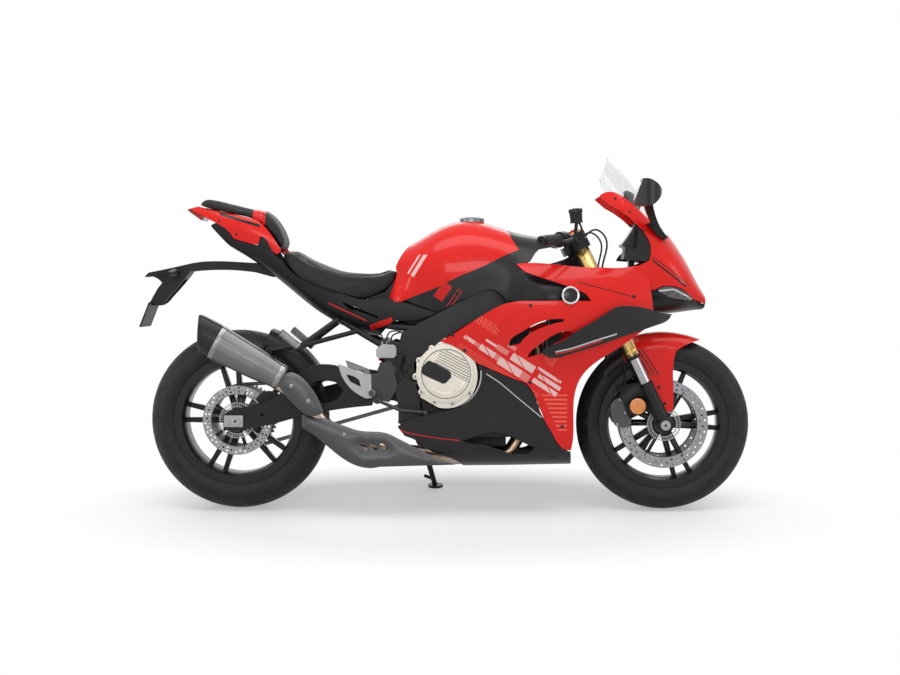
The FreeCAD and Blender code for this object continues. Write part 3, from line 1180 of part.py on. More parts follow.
def make_tail_light():
    """The tail light: a slim lens across the back of the tail."""
    form = body_form(TAIL_STATIONS, 1.5)
    block = slab([[(-184, 1044), (-150, 1052)], [(-112, 1018)], [(-126, 1004)]], -60, 60)
    return form.common(block)


def make_plate_holder():
    """The plate holder: an arm back from under the tail, down to a bare plate bracket, with lamps."""
    arm = slab([[(120, 858), (10, 860), (-140, 860), (-182, 852)], [(-245, 838), (-315, 824)],
                [(-330, 808)],
                [(-290, 806), (-268, 788)], [(-284, 768)], [(-300, 740), (-314, 714)],
                [(-296, 708), (-245, 738)], [(-190, 800), (-168, 828)],
                [(-18, 832), (60, 824)], [(120, 808)]], -44, 44)
    arm = arm.cut(box((-400, -30, 700), (-180, 30, 800)))
    plate_centre = point(-320, 0, 678)
    plate_normal = Vector(-80, 0, 32).normalize()
    plate = box((-3, -90, -46), (3, 90, 46))
    plate.Placement = FreeCAD.Placement(plate_centre, FreeCAD.Rotation(Vector(-1, 0, 0), plate_normal))
    holes = []
    for side in (-1, 1):
        hole = plate_centre + Y_AXIS * (side * PLATE_HOLE_PITCH / 2)
        holes.append(rod(hole - plate_normal * 20, hole + plate_normal * 20, PLATE_HOLE_RADIUS))
    lamps = []
    for side in (-1, 1):
        stalk = rod(point(-214, side * 40, 826), point(-220, side * 84, 822), 7)
        lamp = cone(point(-220, side * 84, 822), point(-226, side * 140, 818), 15, 8)
        lamps += [stalk, lamp]
    return joined([arm, plate] + lamps).cut(Part.makeCompound(holes))


# Footrests

def make_footrests():
    """The rider's rearset plates with pegs, levers and heel guards, and the pillion hangers."""
    inner = LEFT_ARM_INNER + ARM_WALL + 3
    plate = slab([[(PIVOT_X - 110, PIVOT_Z + 60), (PIVOT_X - 100, PIVOT_Z + 96),
                   (PIVOT_X - 60, PIVOT_Z + 104)],
                  [(PIVOT_X - 40, PIVOT_Z + 20)], [(PIVOT_X - 70, PIVOT_Z - 34)],
                  [(PIVOT_X - 120, PIVOT_Z - 20)]], -inner - 12, -inner - 2)
    spacer = rod(point(PIVOT_X - 58, -inner - 4, PIVOT_Z + 80), point(PIVOT_X - 58, -inner, PIVOT_Z + 80),
                 12)
    lower_spacer = rod(point(PIVOT_X - 56, -inner - 4, PIVOT_Z + 30),
                       point(PIVOT_X - 56, -inner, PIVOT_Z + 30), 10)
    peg_start = point(PIVOT_X - 124, -inner - 6, PIVOT_Z - 2)
    peg = rod(peg_start, peg_start + Vector(0, -96, 6), 10)
    guard = slab([[(355, 511), (396, 496), (440, 478)], [(456, 440), (467, 409)], [(462, 394), (440, 398)],
                  [(392, 434), (368, 470)]], -inner - 15, -inner - 12)
    opening = slab([[(384, 474), (410, 468), (428, 456)], [(434, 432)], [(398, 450)]], -400, 0)
    link = polygon([(440, 478), (500, 470), (500, 380), (462, 394)], -inner - 12, -inner - 8)
    pedal = bent_tube([point(PIVOT_X - 110, -inner - 20, PIVOT_Z - 26),
                       point(PIVOT_X - 30, -inner - 26, PIVOT_Z - 60),
                       point(PIVOT_X + 60, -inner - 30, PIVOT_Z - 66)], 6, 60)
    toe = rod(point(PIVOT_X + 56, -inner - 30, PIVOT_Z - 66),
              point(PIVOT_X + 56, -inner - 66, PIVOT_Z - 64), 7)
    boss = rod(point(PIVOT_X - 110, -inner - 2, PIVOT_Z - 26),
               point(PIVOT_X - 110, -inner - 22, PIVOT_Z - 26), 13)
    rearset = joined([plate, spacer, lower_spacer, peg, guard.cut(opening), link, pedal, toe, boss])
    hanger_y = -136
    joint = point(226, hanger_y - 30, 570)
    upper = rod(point(352, hanger_y + 24, 662), joint, 9)
    front = rod(point(420, hanger_y + 24, 622), joint, 8)
    pillion_peg = rod(joint + Vector(10, -8, -12), joint + Vector(-64, -18, 50), 13)
    arm = rod(joint, point(118, -150, 556), 7)
    ring = joined([rod(point(118, -158, 556), point(118, -140, 556), 13),
                   box((110, -156, 520), (126, -142, 552))])
    hanger = joined([upper, front, pillion_peg, arm, ring])
    return Part.makeCompound(both_sides(rearset)), hanger


# The whole bike

def upright_parts():
    """Every node as drawn upright, each one trimmed where it seats on its neighbours."""
    parts = {}
    parts.update(make_wheels())
    for end in ("front", "rear"):
        parts[end + "_tyre"] = parts[end + "_tyre"].cut(parts[end + "_rim"])
    parts.update(make_front_end())
    parts["fork_bottoms"] = parts["fork_bottoms"].cut(parts["front_axle"])
    parts["front_fender"] = parts["front_fender"].cut(parts["fork_bottoms"])
    frame = make_frame()
    engine = make_engine()
    exhaust = make_exhaust().cut(engine)
    silencer = make_silencer().cut(exhaust)
    parts["frame"] = frame
    parts["swingarm"] = make_swingarm()
    parts["rear_axle"] = make_rear_axle()
    parts["rear_caliper"] = make_rear_caliper()
    parts["chain"] = make_chain()
    parts["rear_shock"] = make_shock().cut(frame)
    parts["rear_hugger"] = make_hugger().cut(parts["swingarm"]).cut(parts["chain"])
    parts["side_stand"] = make_stand()
    parts["stand_bracket"] = make_stand_bracket().cut(engine)
    parts["engine_block"] = engine.cut(frame)
    parts["clutch_cover"] = make_clutch_cover().cut(frame)
    parts["left_engine_covers"] = make_left_covers().cut(frame).cut(engine)
    parts["radiator"] = make_radiator().cut(frame)
    parts["exhaust_pipes"] = exhaust
    parts["silencer"] = silencer
    shields = [shield.cut(exhaust).cut(silencer) for shield in make_exhaust_shields()]
    parts["exhaust_shields"] = Part.makeCompound(shields)
    tank, parts["tank_front_cover"], parts["tank_side_covers"] = make_tank()
    parts["fuel_tank"] = tank.cut(frame)
    parts["tank_side_covers"] = parts["tank_side_covers"].cut(frame)
    cowl = make_front_cowl()
    fairing = make_side_fairing().cut(cowl)
    parts["side_fairing_right"] = fairing
    parts["side_fairing_left"] = mirrored(fairing)
    for side in ("right", "left"):
        parts["tank_side_covers"] = parts["tank_side_covers"].cut(parts["side_fairing_" + side])
    parts["air_deflectors"] = Part.makeCompound(both_sides(make_deflector()))
    parts["belly_pan"] = make_belly_pan()
    parts["front_cowl"] = cowl
    parts["headlights"], parts["headlight_surround"] = make_headlights()
    parts["windscreen"] = make_windscreen(cowl)
    dashboard = make_dashboard()
    for neighbour in ("headlight_surround", "front_cowl", "headlights", "side_fairing_left",
                      "side_fairing_right"):
        dashboard = dashboard.cut(parts[neighbour])
    parts["dashboard"] = dashboard
    parts["mirrors"] = make_mirrors()
    tail = make_tail()
    trims = make_seat_trims().cut(frame).cut(tail).cut(parts["fuel_tank"]).cut(parts["tank_side_covers"])
    rider, pillion = make_seats()
    parts["rider_seat"] = rider.cut(trims).cut(frame)
    parts["pillion_seat"] = pillion
    parts["tail_fairing"] = tail
    parts["seat_trims"] = trims
    parts["tail_light"] = make_tail_light().cut(tail)
    parts["plate_holder"] = make_plate_holder().cut(trims).cut(frame)
    rearsets, hanger = make_footrests()
    parts["rearsets"] = rearsets
    parts["pillion_hangers"] = Part.makeCompound(both_sides(hanger.cut(silencer).cut(frame)))
    return parts


def leaned(shape, shift):
    """A copy leaned to the left about the tyres' line on the ground, then moved by shift."""
    copy = shape.copy()
    copy.rotate(Vector(0, 0, 0), Vector(1, 0, 0), -LEAN)
    copy.translate(shift)
    return copy


upright = upright_parts()
lifted = {name: leaned(shape, Vector(0, 0, CROWN_LIFT)) for name, shape in upright.items()}
boxes = [shape.optimalBoundingBox(False, False) for shape in lifted.values()]
low_x = min(one.XMin for one in boxes)
high_x = max(one.XMax for one in boxes)
low_y = min(one.YMin for one in boxes)
high_y = max(one.YMax for one in boxes)
low_z = min(one.ZMin for one in boxes)
SHIFT = Vector(-(low_x + high_x) / 2, -(low_y + high_y) / 2, -low_z)

os.makedirs("parts", exist_ok=True)
for name, shape in lifted.items():
    placed = shape.copy()
    placed.translate(SHIFT)
    placed.exportStep(os.path.join("parts", name + ".step"))

turn = FreeCAD.Rotation(Vector(1, 0, 0), -LEAN)
print("shift", [round(value, 3) for value in SHIFT + Vector(0, 0, CROWN_LIFT)])
for name, spot in (("rear axle", REAR_AXLE), ("front axle", FRONT_AXLE), ("steering axis", STEER_BASE),
                   ("stand hinge", STAND_HINGE)):
    placed = turn.multVec(spot) + SHIFT + Vector(0, 0, CROWN_LIFT)
    print(name, [round(value, 3) for value in placed])
print("axle direction", [round(value, 6) for value in turn.multVec(Y_AXIS)])
print("stand axis", [round(value, 6) for value in turn.multVec(STAND_TURN.multVec(Y_AXIS))])
print("steering direction", [round(value, 6) for value in turn.multVec(STEER_UP)])
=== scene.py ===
import json
import math

import bmesh
import bpy
import numpy as np
from mathutils import Matrix
from mathutils.bvhtree import BVHTree

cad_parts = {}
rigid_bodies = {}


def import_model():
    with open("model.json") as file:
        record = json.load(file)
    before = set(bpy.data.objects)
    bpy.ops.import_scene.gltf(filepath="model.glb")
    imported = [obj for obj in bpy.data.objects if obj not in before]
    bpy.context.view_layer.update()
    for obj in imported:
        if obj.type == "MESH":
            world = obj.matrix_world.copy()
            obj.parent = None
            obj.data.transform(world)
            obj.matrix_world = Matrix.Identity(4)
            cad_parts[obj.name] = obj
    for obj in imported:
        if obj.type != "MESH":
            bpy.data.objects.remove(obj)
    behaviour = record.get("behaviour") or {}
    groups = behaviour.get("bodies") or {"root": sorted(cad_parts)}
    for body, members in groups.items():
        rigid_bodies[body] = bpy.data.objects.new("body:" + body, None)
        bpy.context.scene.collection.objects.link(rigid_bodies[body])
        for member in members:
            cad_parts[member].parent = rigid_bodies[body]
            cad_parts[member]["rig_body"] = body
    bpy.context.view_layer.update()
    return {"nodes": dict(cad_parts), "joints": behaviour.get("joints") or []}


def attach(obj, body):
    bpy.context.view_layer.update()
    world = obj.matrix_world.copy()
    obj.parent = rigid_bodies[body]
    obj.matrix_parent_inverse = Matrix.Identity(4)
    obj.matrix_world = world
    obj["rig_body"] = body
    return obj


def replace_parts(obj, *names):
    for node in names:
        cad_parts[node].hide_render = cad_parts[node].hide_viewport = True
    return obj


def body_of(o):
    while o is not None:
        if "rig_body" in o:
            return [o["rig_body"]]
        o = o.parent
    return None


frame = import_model()
cad = frame["nodes"]

# A full-fairing sport motorcycle in red and black, leaning on its side stand.
# The camera stands to its right, square to the leaned bike, as a studio picture is taken.
# Sizes are read upright in millimetres: X ahead of the rear axle, Y to the rider's left, Z up.
LEAN = math.radians(9.5)
AXLE_HEIGHT = 312.0
hub = np.array(next(joint for joint in frame["joints"] if joint["name"] == "rear_wheel_spin")["pos_m"])


def leaned(vectors, angle=LEAN):
    """Directions turned about X, with the left side going down; -LEAN turns them back upright."""
    v = np.asarray(vectors, dtype=float)
    y = v[..., 1] * math.cos(angle) + v[..., 2] * math.sin(angle)
    z = v[..., 2] * math.cos(angle) - v[..., 1] * math.sin(angle)
    return np.stack([v[..., 0], y, z], axis=-1)


def parked(points):
    """Upright millimetres to metres in the frame: leaned, then moved so the rear axle fits its joint."""
    return leaned((np.asarray(points, dtype=float) - (0, 0, AXLE_HEIGHT)) / 1000) + hub


def upright(points):
    """Metres in the frame back to upright millimetres."""
    return leaned(points - hub, -LEAN) * 1000 + (0, 0, AXLE_HEIGHT)


def unit(vector):
    """A vector divided by its length."""
    return np.asarray(vector, dtype=float) / np.linalg.norm(vector)


def linked(name, data):
    """A new object in the scene."""
    piece = bpy.data.objects.new(name, data)
    bpy.context.scene.collection.objects.link(piece)
    return piece


def aimed(name, data, place, side, back):
    """A new object at place with its X axis along side and its Z axis along back."""
    holder = linked(name, data)
    top = np.cross(back, side)
    rows = [(side[i], top[i], back[i], place[i]) for i in range(3)]
    holder.matrix_world = Matrix(rows + [(0, 0, 0, 1)])
    return holder


eye = parked((875, -6000, 780))
forward = unit(parked((735, 0, 596.7)) - eye)
level_side = unit(np.cross(forward, leaned((0, 0, 1))))
camera = aimed("camera", bpy.data.cameras.new("camera"), eye, level_side, -forward)
camera.data.lens = 68.6
bpy.context.scene.camera = camera
bpy.context.scene.view_settings.view_transform = "Standard"

for name, place, target, width, height, power in (
        ("overhead softbox", (0.1, -0.9, 3.4), (0, -0.1, 0.4), 4.4, 1.6, 78),
        ("right softbox", (-0.6, -5.2, 2.6), (0, 0, 0.5), 4.2, 0.9, 62),
        ("front softbox", (3.9, -1.8, 1.5), (0.5, 0, 0.5), 1.0, 2.2, 26),
        ("rear softbox", (-3.9, -1.0, 1.6), (-0.5, 0, 0.6), 1.0, 2.2, 20),
        ("left softbox", (0.3, 4.4, 2.4), (0, 0, 0.5), 3.6, 1.2, 36)):
    lamp = bpy.data.lights.new(name, "AREA")
    lamp.shape = "RECTANGLE"
    lamp.size = width
    lamp.size_y = height
    lamp.energy = power
    back = unit(np.subtract(place, target))
    aimed(name, lamp, place, unit(np.cross((0, 1, 0) if abs(back[2]) > 0.9 else (0, 0, 1), back)), back)


# The studio floor and the wall behind it are pale and plain. The floor shows the bike's
# shadow close by, and turns to white further out, where only the camera and gloss see it.
def math_node(operation, swapped=False):
    """A method that adds one Math node; swapped puts the other value first."""
    def method(signal, other=0.0):
        first, second = (other, signal) if swapped else (signal, other)
        return signal.finish.node("ShaderNodeMath", {"operation": operation}, {0: first, 1: second})
    return method


class Signal:
    """A shader socket. Arithmetic on it adds Math nodes."""

    __add__ = __radd__ = math_node("ADD")
    __sub__ = math_node("SUBTRACT")
    __rsub__ = math_node("SUBTRACT", swapped=True)
    __mul__ = __rmul__ = math_node("MULTIPLY")
    __mod__ = math_node("FLOORED_MODULO")
    __gt__ = math_node("GREATER_THAN")
    __lt__ = math_node("LESS_THAN")
    sine = math_node("SINE")
    size = math_node("ABSOLUTE")
    root = math_node("SQRT")
    most = math_node("MAXIMUM")

    def __init__(self, finish, socket):
        self.finish = finish
        self.socket = socket

    def within(self, low, high):
        """1 between low and high, 0 outside."""
        return (self > low) * (self < high)

    def ramp(self, low, high, to_low=0.0, to_high=1.0):
        """A clamped straight line from (low, to_low) to (high, to_high)."""
        return self.finish.node("ShaderNodeMapRange", {"clamp": True},
                                {0: self, 1: low, 2: high, 3: to_low, 4: to_high})


class Finish:
    """A Principled material. Its place is the upright bike's millimetres on Object coordinates."""

    def __init__(self, name, **surface):
        self.material = bpy.data.materials.new(name)
        self.material.use_nodes = True
        self.tree = self.material.node_tree
        self.shader = self.tree.nodes["Principled BSDF"]
        for key, value in surface.items():
            self.set(key.replace("_", " "), value)
        raw = self.node("ShaderNodeTexCoord", {}, {}, "Object")
        self.place = self.node("ShaderNodeMapping", {"vector_type": "POINT"}, {
            "Vector": raw, "Scale": (1000, 1000, 1000), "Rotation": (LEAN, 0, 0),
            "Location": upright(np.zeros(3))})
        self.x = self.node("ShaderNodeSeparateXYZ", {}, {0: self.place}, "X")
        self.y, self.z = (Signal(self, self.x.socket.node.outputs[axis]) for axis in "YZ")

    def node(self, kind, settings, links, output=0):
        """Adds a node: its settings first, then the values or signals of its sockets."""
        node = self.tree.nodes.new(kind)
        for key, value in settings.items():
            setattr(node, key, value)
        for key, value in links.items():
            self.join(node.inputs[key], value)
        return Signal(self, node.outputs[output])

    def join(self, socket, value):
        """Links a signal to a socket, or sets the socket's value; a colour is made opaque."""
        if isinstance(value, Signal):
            self.tree.links.new(value.socket, socket)
        elif hasattr(socket.default_value, "__len__") and len(value) == 3 and len(socket.default_value) == 4:
            socket.default_value = (*value, 1.0)
        else:
            socket.default_value = value

    def set(self, socket, value):
        """Sets or links a socket of the Principled shader."""
        self.join(self.shader.inputs[socket], value)

    def mix(self, share, low, high):
        """The colour low where share is 0 and high where it is 1."""
        return self.node("ShaderNodeMix", {"data_type": "RGBA"}, {0: share, 6: low, 7: high}, 2)

    def tones(self, share, colour, low, high):
        """A colour that share carries from low times to high times itself."""
        return self.mix(share, tuple(low * c for c in colour), tuple(min(1, high * c) for c in colour))

    def noise(self, size, detail=3.0, stretch=(1, 1, 1)):
        """Noise with features about size millimetres across, 0 to 1."""
        spread = self.node("ShaderNodeMapping", {"vector_type": "POINT"},
                           {"Vector": self.place, "Scale": tuple(1 / (size * s) for s in stretch)})
        return self.node("ShaderNodeTexNoise", {}, {"Vector": spread, "Scale": 1.0, "Detail": detail}, "Fac")

    def bump(self, height, depth):
        """Bumps of a signal that runs 0 to 1, depth millimetres deep."""
        bumps = {"Height": height, "Distance": depth / 1000, "Strength": 1.0}
        self.set("Normal", self.node("ShaderNodeBump", {}, bumps))


BRIGHT_RAYS = ("Is Glossy Ray", "Is Transmission Ray")
SHADOW_MIDDLE = (738, -60)
SHADOW_HALF = (1350, 620)
world = bpy.data.worlds.new("studio")
world.use_nodes = True
bpy.context.scene.world = world
sky = world.node_tree
rays = sky.nodes.new("ShaderNodeLightPath")
seen = rays.outputs["Is Camera Ray"]
for kind in BRIGHT_RAYS:
    either = sky.nodes.new("ShaderNodeMath")
    either.operation = "MAXIMUM"
    sky.links.new(seen, either.inputs[0])
    sky.links.new(rays.outputs[kind], either.inputs[1])
    seen = either.outputs[0]
level = sky.nodes.new("ShaderNodeMapRange")
level.inputs["To Min"].default_value = 0.3
level.inputs["To Max"].default_value = 1.0
sky.links.new(seen, level.inputs["Value"])
sky.nodes["Background"].inputs["Color"].default_value = (1, 1, 1, 1)
sky.links.new(level.outputs["Result"], sky.nodes["Background"].inputs["Strength"])

floor_mesh = bpy.data.meshes.new("floor")
floor_mesh.from_pydata([(-9, -7, 0), (9, -7, 0), (9, 9, 0), (-9, 9, 0)], [], [(0, 1, 2, 3)])
linked("floor", floor_mesh)
paper = Finish("paper floor", Base_Color=(0.86, 0.86, 0.86), Roughness=0.75)
straight = paper.node("ShaderNodeLightPath", {}, {}, "Is Camera Ray")
path = straight
for kind in BRIGHT_RAYS:
    path = path.most(Signal(paper, straight.socket.node.outputs[kind]))
middle = paper.node("ShaderNodeMapping", {}, {
    "Vector": paper.place, "Scale": (1 / SHADOW_HALF[0], 1 / SHADOW_HALF[1], 0),
    "Location": (-SHADOW_MIDDLE[0] / SHADOW_HALF[0], -SHADOW_MIDDLE[1] / SHADOW_HALF[1], 0)})
far = paper.node("ShaderNodeVectorMath", {"operation": "LENGTH"}, {0: middle}, "Value").ramp(0.62, 1.0)
white = paper.node("ShaderNodeEmission", {}, {"Color": (1, 1, 1), "Strength": 1.0})
blend = paper.node("ShaderNodeMixShader", {}, {
    0: path * far.ramp(0, 1, 0.35, 1.0), 1: Signal(paper, paper.shader.outputs[0]), 2: white})
paper.join(paper.tree.nodes["Material Output"].inputs["Surface"], blend)
floor_mesh.materials.append(paper.material)


# The wheels. Both tyres are tubeless road tyres: a round crown with raked grooves moulded into
# it, plain sidewalls with fine rings, and beads that sit on cast rims with five pairs of spokes.
RIM_SEAT = 216.0
REAR_HUB = np.array((0.0, 0.0, AXLE_HEIGHT))
FRONT_HUB = np.array((1476.0, 0.0, 300.0))
TYRE_STEPS = 660
CROWN_STEPS = 84
FLANK_STEPS = 25
GROOVES_ROUND = 21
GROOVE_DEPTH = 3.0


def sheet_faces(rows, columns, closed_rows=False, closed_columns=False):
    """Quads over a grid of rows by columns; a closed direction joins its end to its start."""
    r = np.arange(rows if closed_rows else rows - 1)
    c = np.arange(columns if closed_columns else columns - 1)
    r, c = np.meshgrid(r, c, indexing="ij")
    here = r * columns
    there = (r + 1) % rows * columns
    c_next = (c + 1) % columns
    return np.stack([here + c, there + c, there + c_next, here + c_next], -1).reshape(-1, 4)


def shaded(mesh, material, crease):
    """Smooth shading, with edges sharper than crease degrees kept, and one material."""
    mesh.shade_smooth()
    mesh.set_sharp_from_angle(angle=math.radians(crease))
    mesh.materials.clear()
    mesh.materials.append(material)


def solid(name, points, faces, finish, crease=35.0):
    """An object from upright points and faces: doubles merged, and faces turned outwards."""
    mesh = bpy.data.meshes.new(name)
    mesh.from_pydata(parked(points).tolist(), [], [list(map(int, face)) for face in faces])
    work = bmesh.new()
    work.from_mesh(mesh)
    bmesh.ops.remove_doubles(work, verts=work.verts, dist=2e-6)
    bmesh.ops.recalc_face_normals(work, faces=work.faces)
    work.to_mesh(mesh)
    work.free()
    shaded(mesh, finish.material, crease)
    return linked(name, mesh)


def fitted(piece, body):
    """Puts a piece on its body."""
    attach(piece, body)
    return piece


def round_the_axle(radius, y, steps, hub_at):
    """Points (radius cos t, y, radius sin t) about a wheel's hub, steps of t by the profile's length.

    radius and y may hold one profile, or a profile for each step."""
    turn = np.arange(steps)[:, None] * 2 * math.pi / steps
    radius = np.broadcast_to(radius, (steps, np.shape(radius)[-1]))
    y = np.broadcast_to(y, radius.shape)
    return np.stack([radius * np.cos(turn), y, radius * np.sin(turn)], -1) + hub_at


def tyre_profile(radius, width, crown, rim_width):
    """Radius and Y across a tyre, from bead to bead: a crown arc between two bulging flanks."""
    half = width / 2 * 0.98
    edge = math.asin(half / crown)
    shoulder = radius - crown + crown * math.cos(edge)
    lean_out = np.linspace(-edge, edge, CROWN_STEPS)
    down = np.linspace(0, 1, FLANK_STEPS + 1)[1:]
    flank_r = shoulder + (RIM_SEAT + 2 - shoulder) * down
    flank_y = half + (rim_width / 2 - half) * down ** 1.7 + 10 * down * (1 - down)
    flank_y += 0.5 * ((down > 0.3) & (down < 0.34)) + 0.7 * ((down > 0.68) & (down < 0.74))
    r = np.concatenate([flank_r[::-1], radius - crown + crown * np.cos(lean_out), flank_r])
    y = np.concatenate([-flank_y[::-1], crown * np.sin(lean_out), flank_y])
    return r, y


def grooves(turn, across):
    """1 in a groove, 0 on the rubber. Each repeat has a long raked groove and a short one a side.

    A groove follows turn = start + rake * across, fades at its ends and mirrors a half step away."""
    cell = turn * GROOVES_ROUND
    depth = np.zeros(np.broadcast(turn, across).shape)
    kinds = ((0.0, 0.10, 0.86, 1.15, 0.050), (0.46, 0.46, 0.92, 0.8, 0.040))
    for side, start in ((1, 0.0), (-1, 0.5)):
        reach = side * across
        for offset, low, high, rake, wide in kinds:
            line = (cell + start + offset + rake * reach + 0.25 * np.sin(2.6 * reach)) % 1.0
            gap = np.minimum(line, 1 - line)
            inside = (reach > low) & (reach < high)
            taper = np.clip(np.minimum(reach - low, high - reach) * 9, 0, 1)
            depth = np.maximum(depth, np.where(inside & (gap < wide * (0.35 + 0.65 * taper)), 1.0, 0.0))
    return depth


rubber = Finish("tyre rubber", Specular_IOR_Level=0.22)
scuff = rubber.noise(22, 5).ramp(0.35, 0.75)
rubber.set("Base Color", rubber.mix(scuff, (0.010, 0.010, 0.011), (0.021, 0.021, 0.022)))
rubber.set("Roughness", scuff.ramp(0, 1, 0.45, 0.62))
rubber.bump(rubber.noise(1.4, 2), 0.18)

for end, hub_at, radius, width, crown, rim_width in (
        ("rear", REAR_HUB, 312.0, 160.0, 86.0, 130.0), ("front", FRONT_HUB, 300.0, 120.0, 65.0, 96.0)):
    profile_r, profile_y = tyre_profile(radius, width, crown, rim_width)
    number = np.arange(len(profile_y))
    on_crown = (number >= FLANK_STEPS) & (number < FLANK_STEPS + CROWN_STEPS)
    turn = np.arange(TYRE_STEPS)[:, None] / TYRE_STEPS
    cut = grooves(turn, profile_y / (width / 2)) * on_crown * GROOVE_DEPTH
    spots = round_the_axle(profile_r - cut, profile_y, TYRE_STEPS, hub_at)
    faces = sheet_faces(TYRE_STEPS, len(profile_r), closed_rows=True)
    piece = solid(end + "_road_tyre", spots.reshape(-1, 3), faces, rubber, 50)
    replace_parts(piece, end + "_tyre")
    fitted(piece, end + "_wheel")


# The cast rims, painted satin black all over. A CAD node is loose triangles, so a copy is
# merged, its flat faces made one, and its edges softened.
def cad_copy(name, node, flatten=False):
    """An object with a merged copy of a CAD node's mesh; flatten makes each flat face one polygon."""
    mesh = cad[node].data.copy()
    mesh.name = name
    work = bmesh.new()
    work.from_mesh(mesh)
    bmesh.ops.remove_doubles(work, verts=work.verts, dist=3e-6)
    if flatten:
        bmesh.ops.dissolve_limit(work, angle_limit=math.radians(0.5), verts=work.verts, edges=work.edges)
    work.to_mesh(mesh)
    work.free()
    return linked(name, mesh)


def smoothed(node, finish, angle=30.0, rounding=0.0):
    """A merged copy of a CAD node, smooth across its curves, that stands in for the node."""
    piece = cad_copy(node + "-dressed", node, rounding > 0)
    shaded(piece.data, finish.material, angle)
    if rounding:
        soften(piece, rounding)
    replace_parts(piece, node)
    return fitted(piece, body_of(cad[node])[0])


def soften(piece, width):
    """A small rounding on every sharp edge, width in millimetres."""
    rounding = piece.modifiers.new("rounding", "BEVEL")
    rounding.width = width / 1000
    rounding.segments = 2
    rounding.limit_method = "ANGLE"
    rounding.angle_limit = math.radians(35)
    rounding.harden_normals = True


def satin(name, colour, roughness, grain=0.04, coat=0.0):
    """Satin paint or moulded plastic with a fine grain and a slight unevenness of tone."""
    finish = Finish(name, Coat_Weight=coat * 0.5, Coat_Roughness=0.15, Specular_IOR_Level=0.22)
    patches = finish.noise(60, 4)
    finish.set("Base Color", finish.tones(patches, colour, 0.86, 1.12))
    finish.set("Roughness", patches.ramp(0.2, 0.8, roughness - 0.05, roughness + 0.06))
    finish.bump(finish.noise(0.9, 2), grain)
    return finish


wheel_black = satin("wheel black", (0.008, 0.008, 0.009), 0.3, 0.02, 0.3)
for end in ("rear", "front"):
    smoothed(end + "_rim", wheel_black, 30, 0.8)


# The brake discs: stainless rings on black star carriers, drilled right through in raked rows,
# with a band of fine rings polished on both faces by the pads.
HOLE_ROWS = 22
HOLES_A_ROW = 3
HOLE_RADIUS = 3.6
HOLE_SIDES = 12
HOLE_MARGIN = 5
HOLE_RAKE = 1.6
PAD_EDGE = 0.76


def length(first, second):
    """The length of two signals that are square to each other."""
    return (first * first + second * second).root()


def disc_finish(name, hub_at, edge):
    """Turned steel outside the radius edge about a wheel's hub, satin black paint inside it."""
    finish = Finish(name)
    out = length(finish.x - hub_at[0], finish.z - hub_at[2])
    steel = out > edge
    rings = finish.node("ShaderNodeTexNoise", {"noise_dimensions": "1D"},
                        {"W": out, "Scale": 0.35, "Detail": 2.0})
    bare = finish.mix(rings.ramp(0.3, 0.7), (0.20, 0.20, 0.21), (0.31, 0.31, 0.32))
    finish.set("Metallic", steel.ramp(0, 1))
    finish.set("Base Color", finish.mix(steel, (0.012, 0.012, 0.013), bare))
    finish.set("Roughness", rings.ramp(0.3, 0.7, 0.32, 0.46))
    finish.bump(rings, 0.02)
    return finish


def prism_faces(count, first=0):
    """Faces of a prism: count points round its near end from first on, then as many round its far end."""
    near = list(range(first, first + count))
    far = [n + count for n in near]
    after = [(n + 1) % count for n in range(count)]
    return [near, far[::-1]] + [[near[n], far[n], far[after[n]], near[after[n]]] for n in range(count)]


def drill(piece, hub_at, faces_y, outer, inner):
    """Raked rows of holes about a hub through the ring of each disc, whose middle is at faces_y."""
    share = (np.arange(HOLES_A_ROW) + 0.5) / HOLES_A_ROW
    swing = 2 * math.pi * (np.arange(HOLE_ROWS)[:, None] + share * HOLE_RAKE) / HOLE_ROWS
    out = inner + HOLE_MARGIN + (outer - inner - 2 * HOLE_MARGIN) * share
    centres = np.stack([out * np.cos(swing), 0 * swing, out * np.sin(swing)], -1).reshape(-1, 1, 3)
    turn = np.arange(HOLE_SIDES) * 2 * math.pi / HOLE_SIDES
    rim = HOLE_RADIUS * np.stack([np.cos(turn), 0 * turn, np.sin(turn)], -1)
    faces = []
    for pin in range(len(centres)):
        faces += prism_faces(HOLE_SIDES, pin * 2 * HOLE_SIDES)
    for middle in faces_y:
        ends = [centres + rim + (0, middle + reach, 0) for reach in (-6, 6)]
        carve(piece, solid("tool", np.concatenate(ends, 1).reshape(-1, 3) + hub_at, faces, rubber))


def evaluated(piece):
    """A new mesh of a piece with its modifiers taken in."""
    graph = bpy.context.evaluated_depsgraph_get()
    return bpy.data.meshes.new_from_object(piece.evaluated_get(graph), depsgraph=graph)


def carve(piece, tool):
    """Cuts a piece by a closed tool, which is used up, and puts the result in the piece's mesh."""
    cutter = piece.modifiers.new("cut", "BOOLEAN")
    cutter.operation = "DIFFERENCE"
    cutter.solver = "EXACT"
    cutter.object = tool
    old = piece.data
    piece.data = evaluated(piece)
    piece.modifiers.remove(cutter)
    piece.data.name = piece.name
    shaded(piece.data, old.materials[0], 32)
    tool_mesh = tool.data
    bpy.data.objects.remove(tool)
    bpy.data.meshes.remove(tool_mesh)
    bpy.data.meshes.remove(old)


for node, hub_at, outer, faces_y in (("front_discs", FRONT_HUB, 152.0, (66.5, -66.5)),
                                     ("rear_disc", REAR_HUB, 120.0, (-86.5,))):
    inner = PAD_EDGE * outer
    disc = smoothed(node, disc_finish(node + " steel", hub_at, inner))
    drill(disc, hub_at, faces_y, outer, inner)


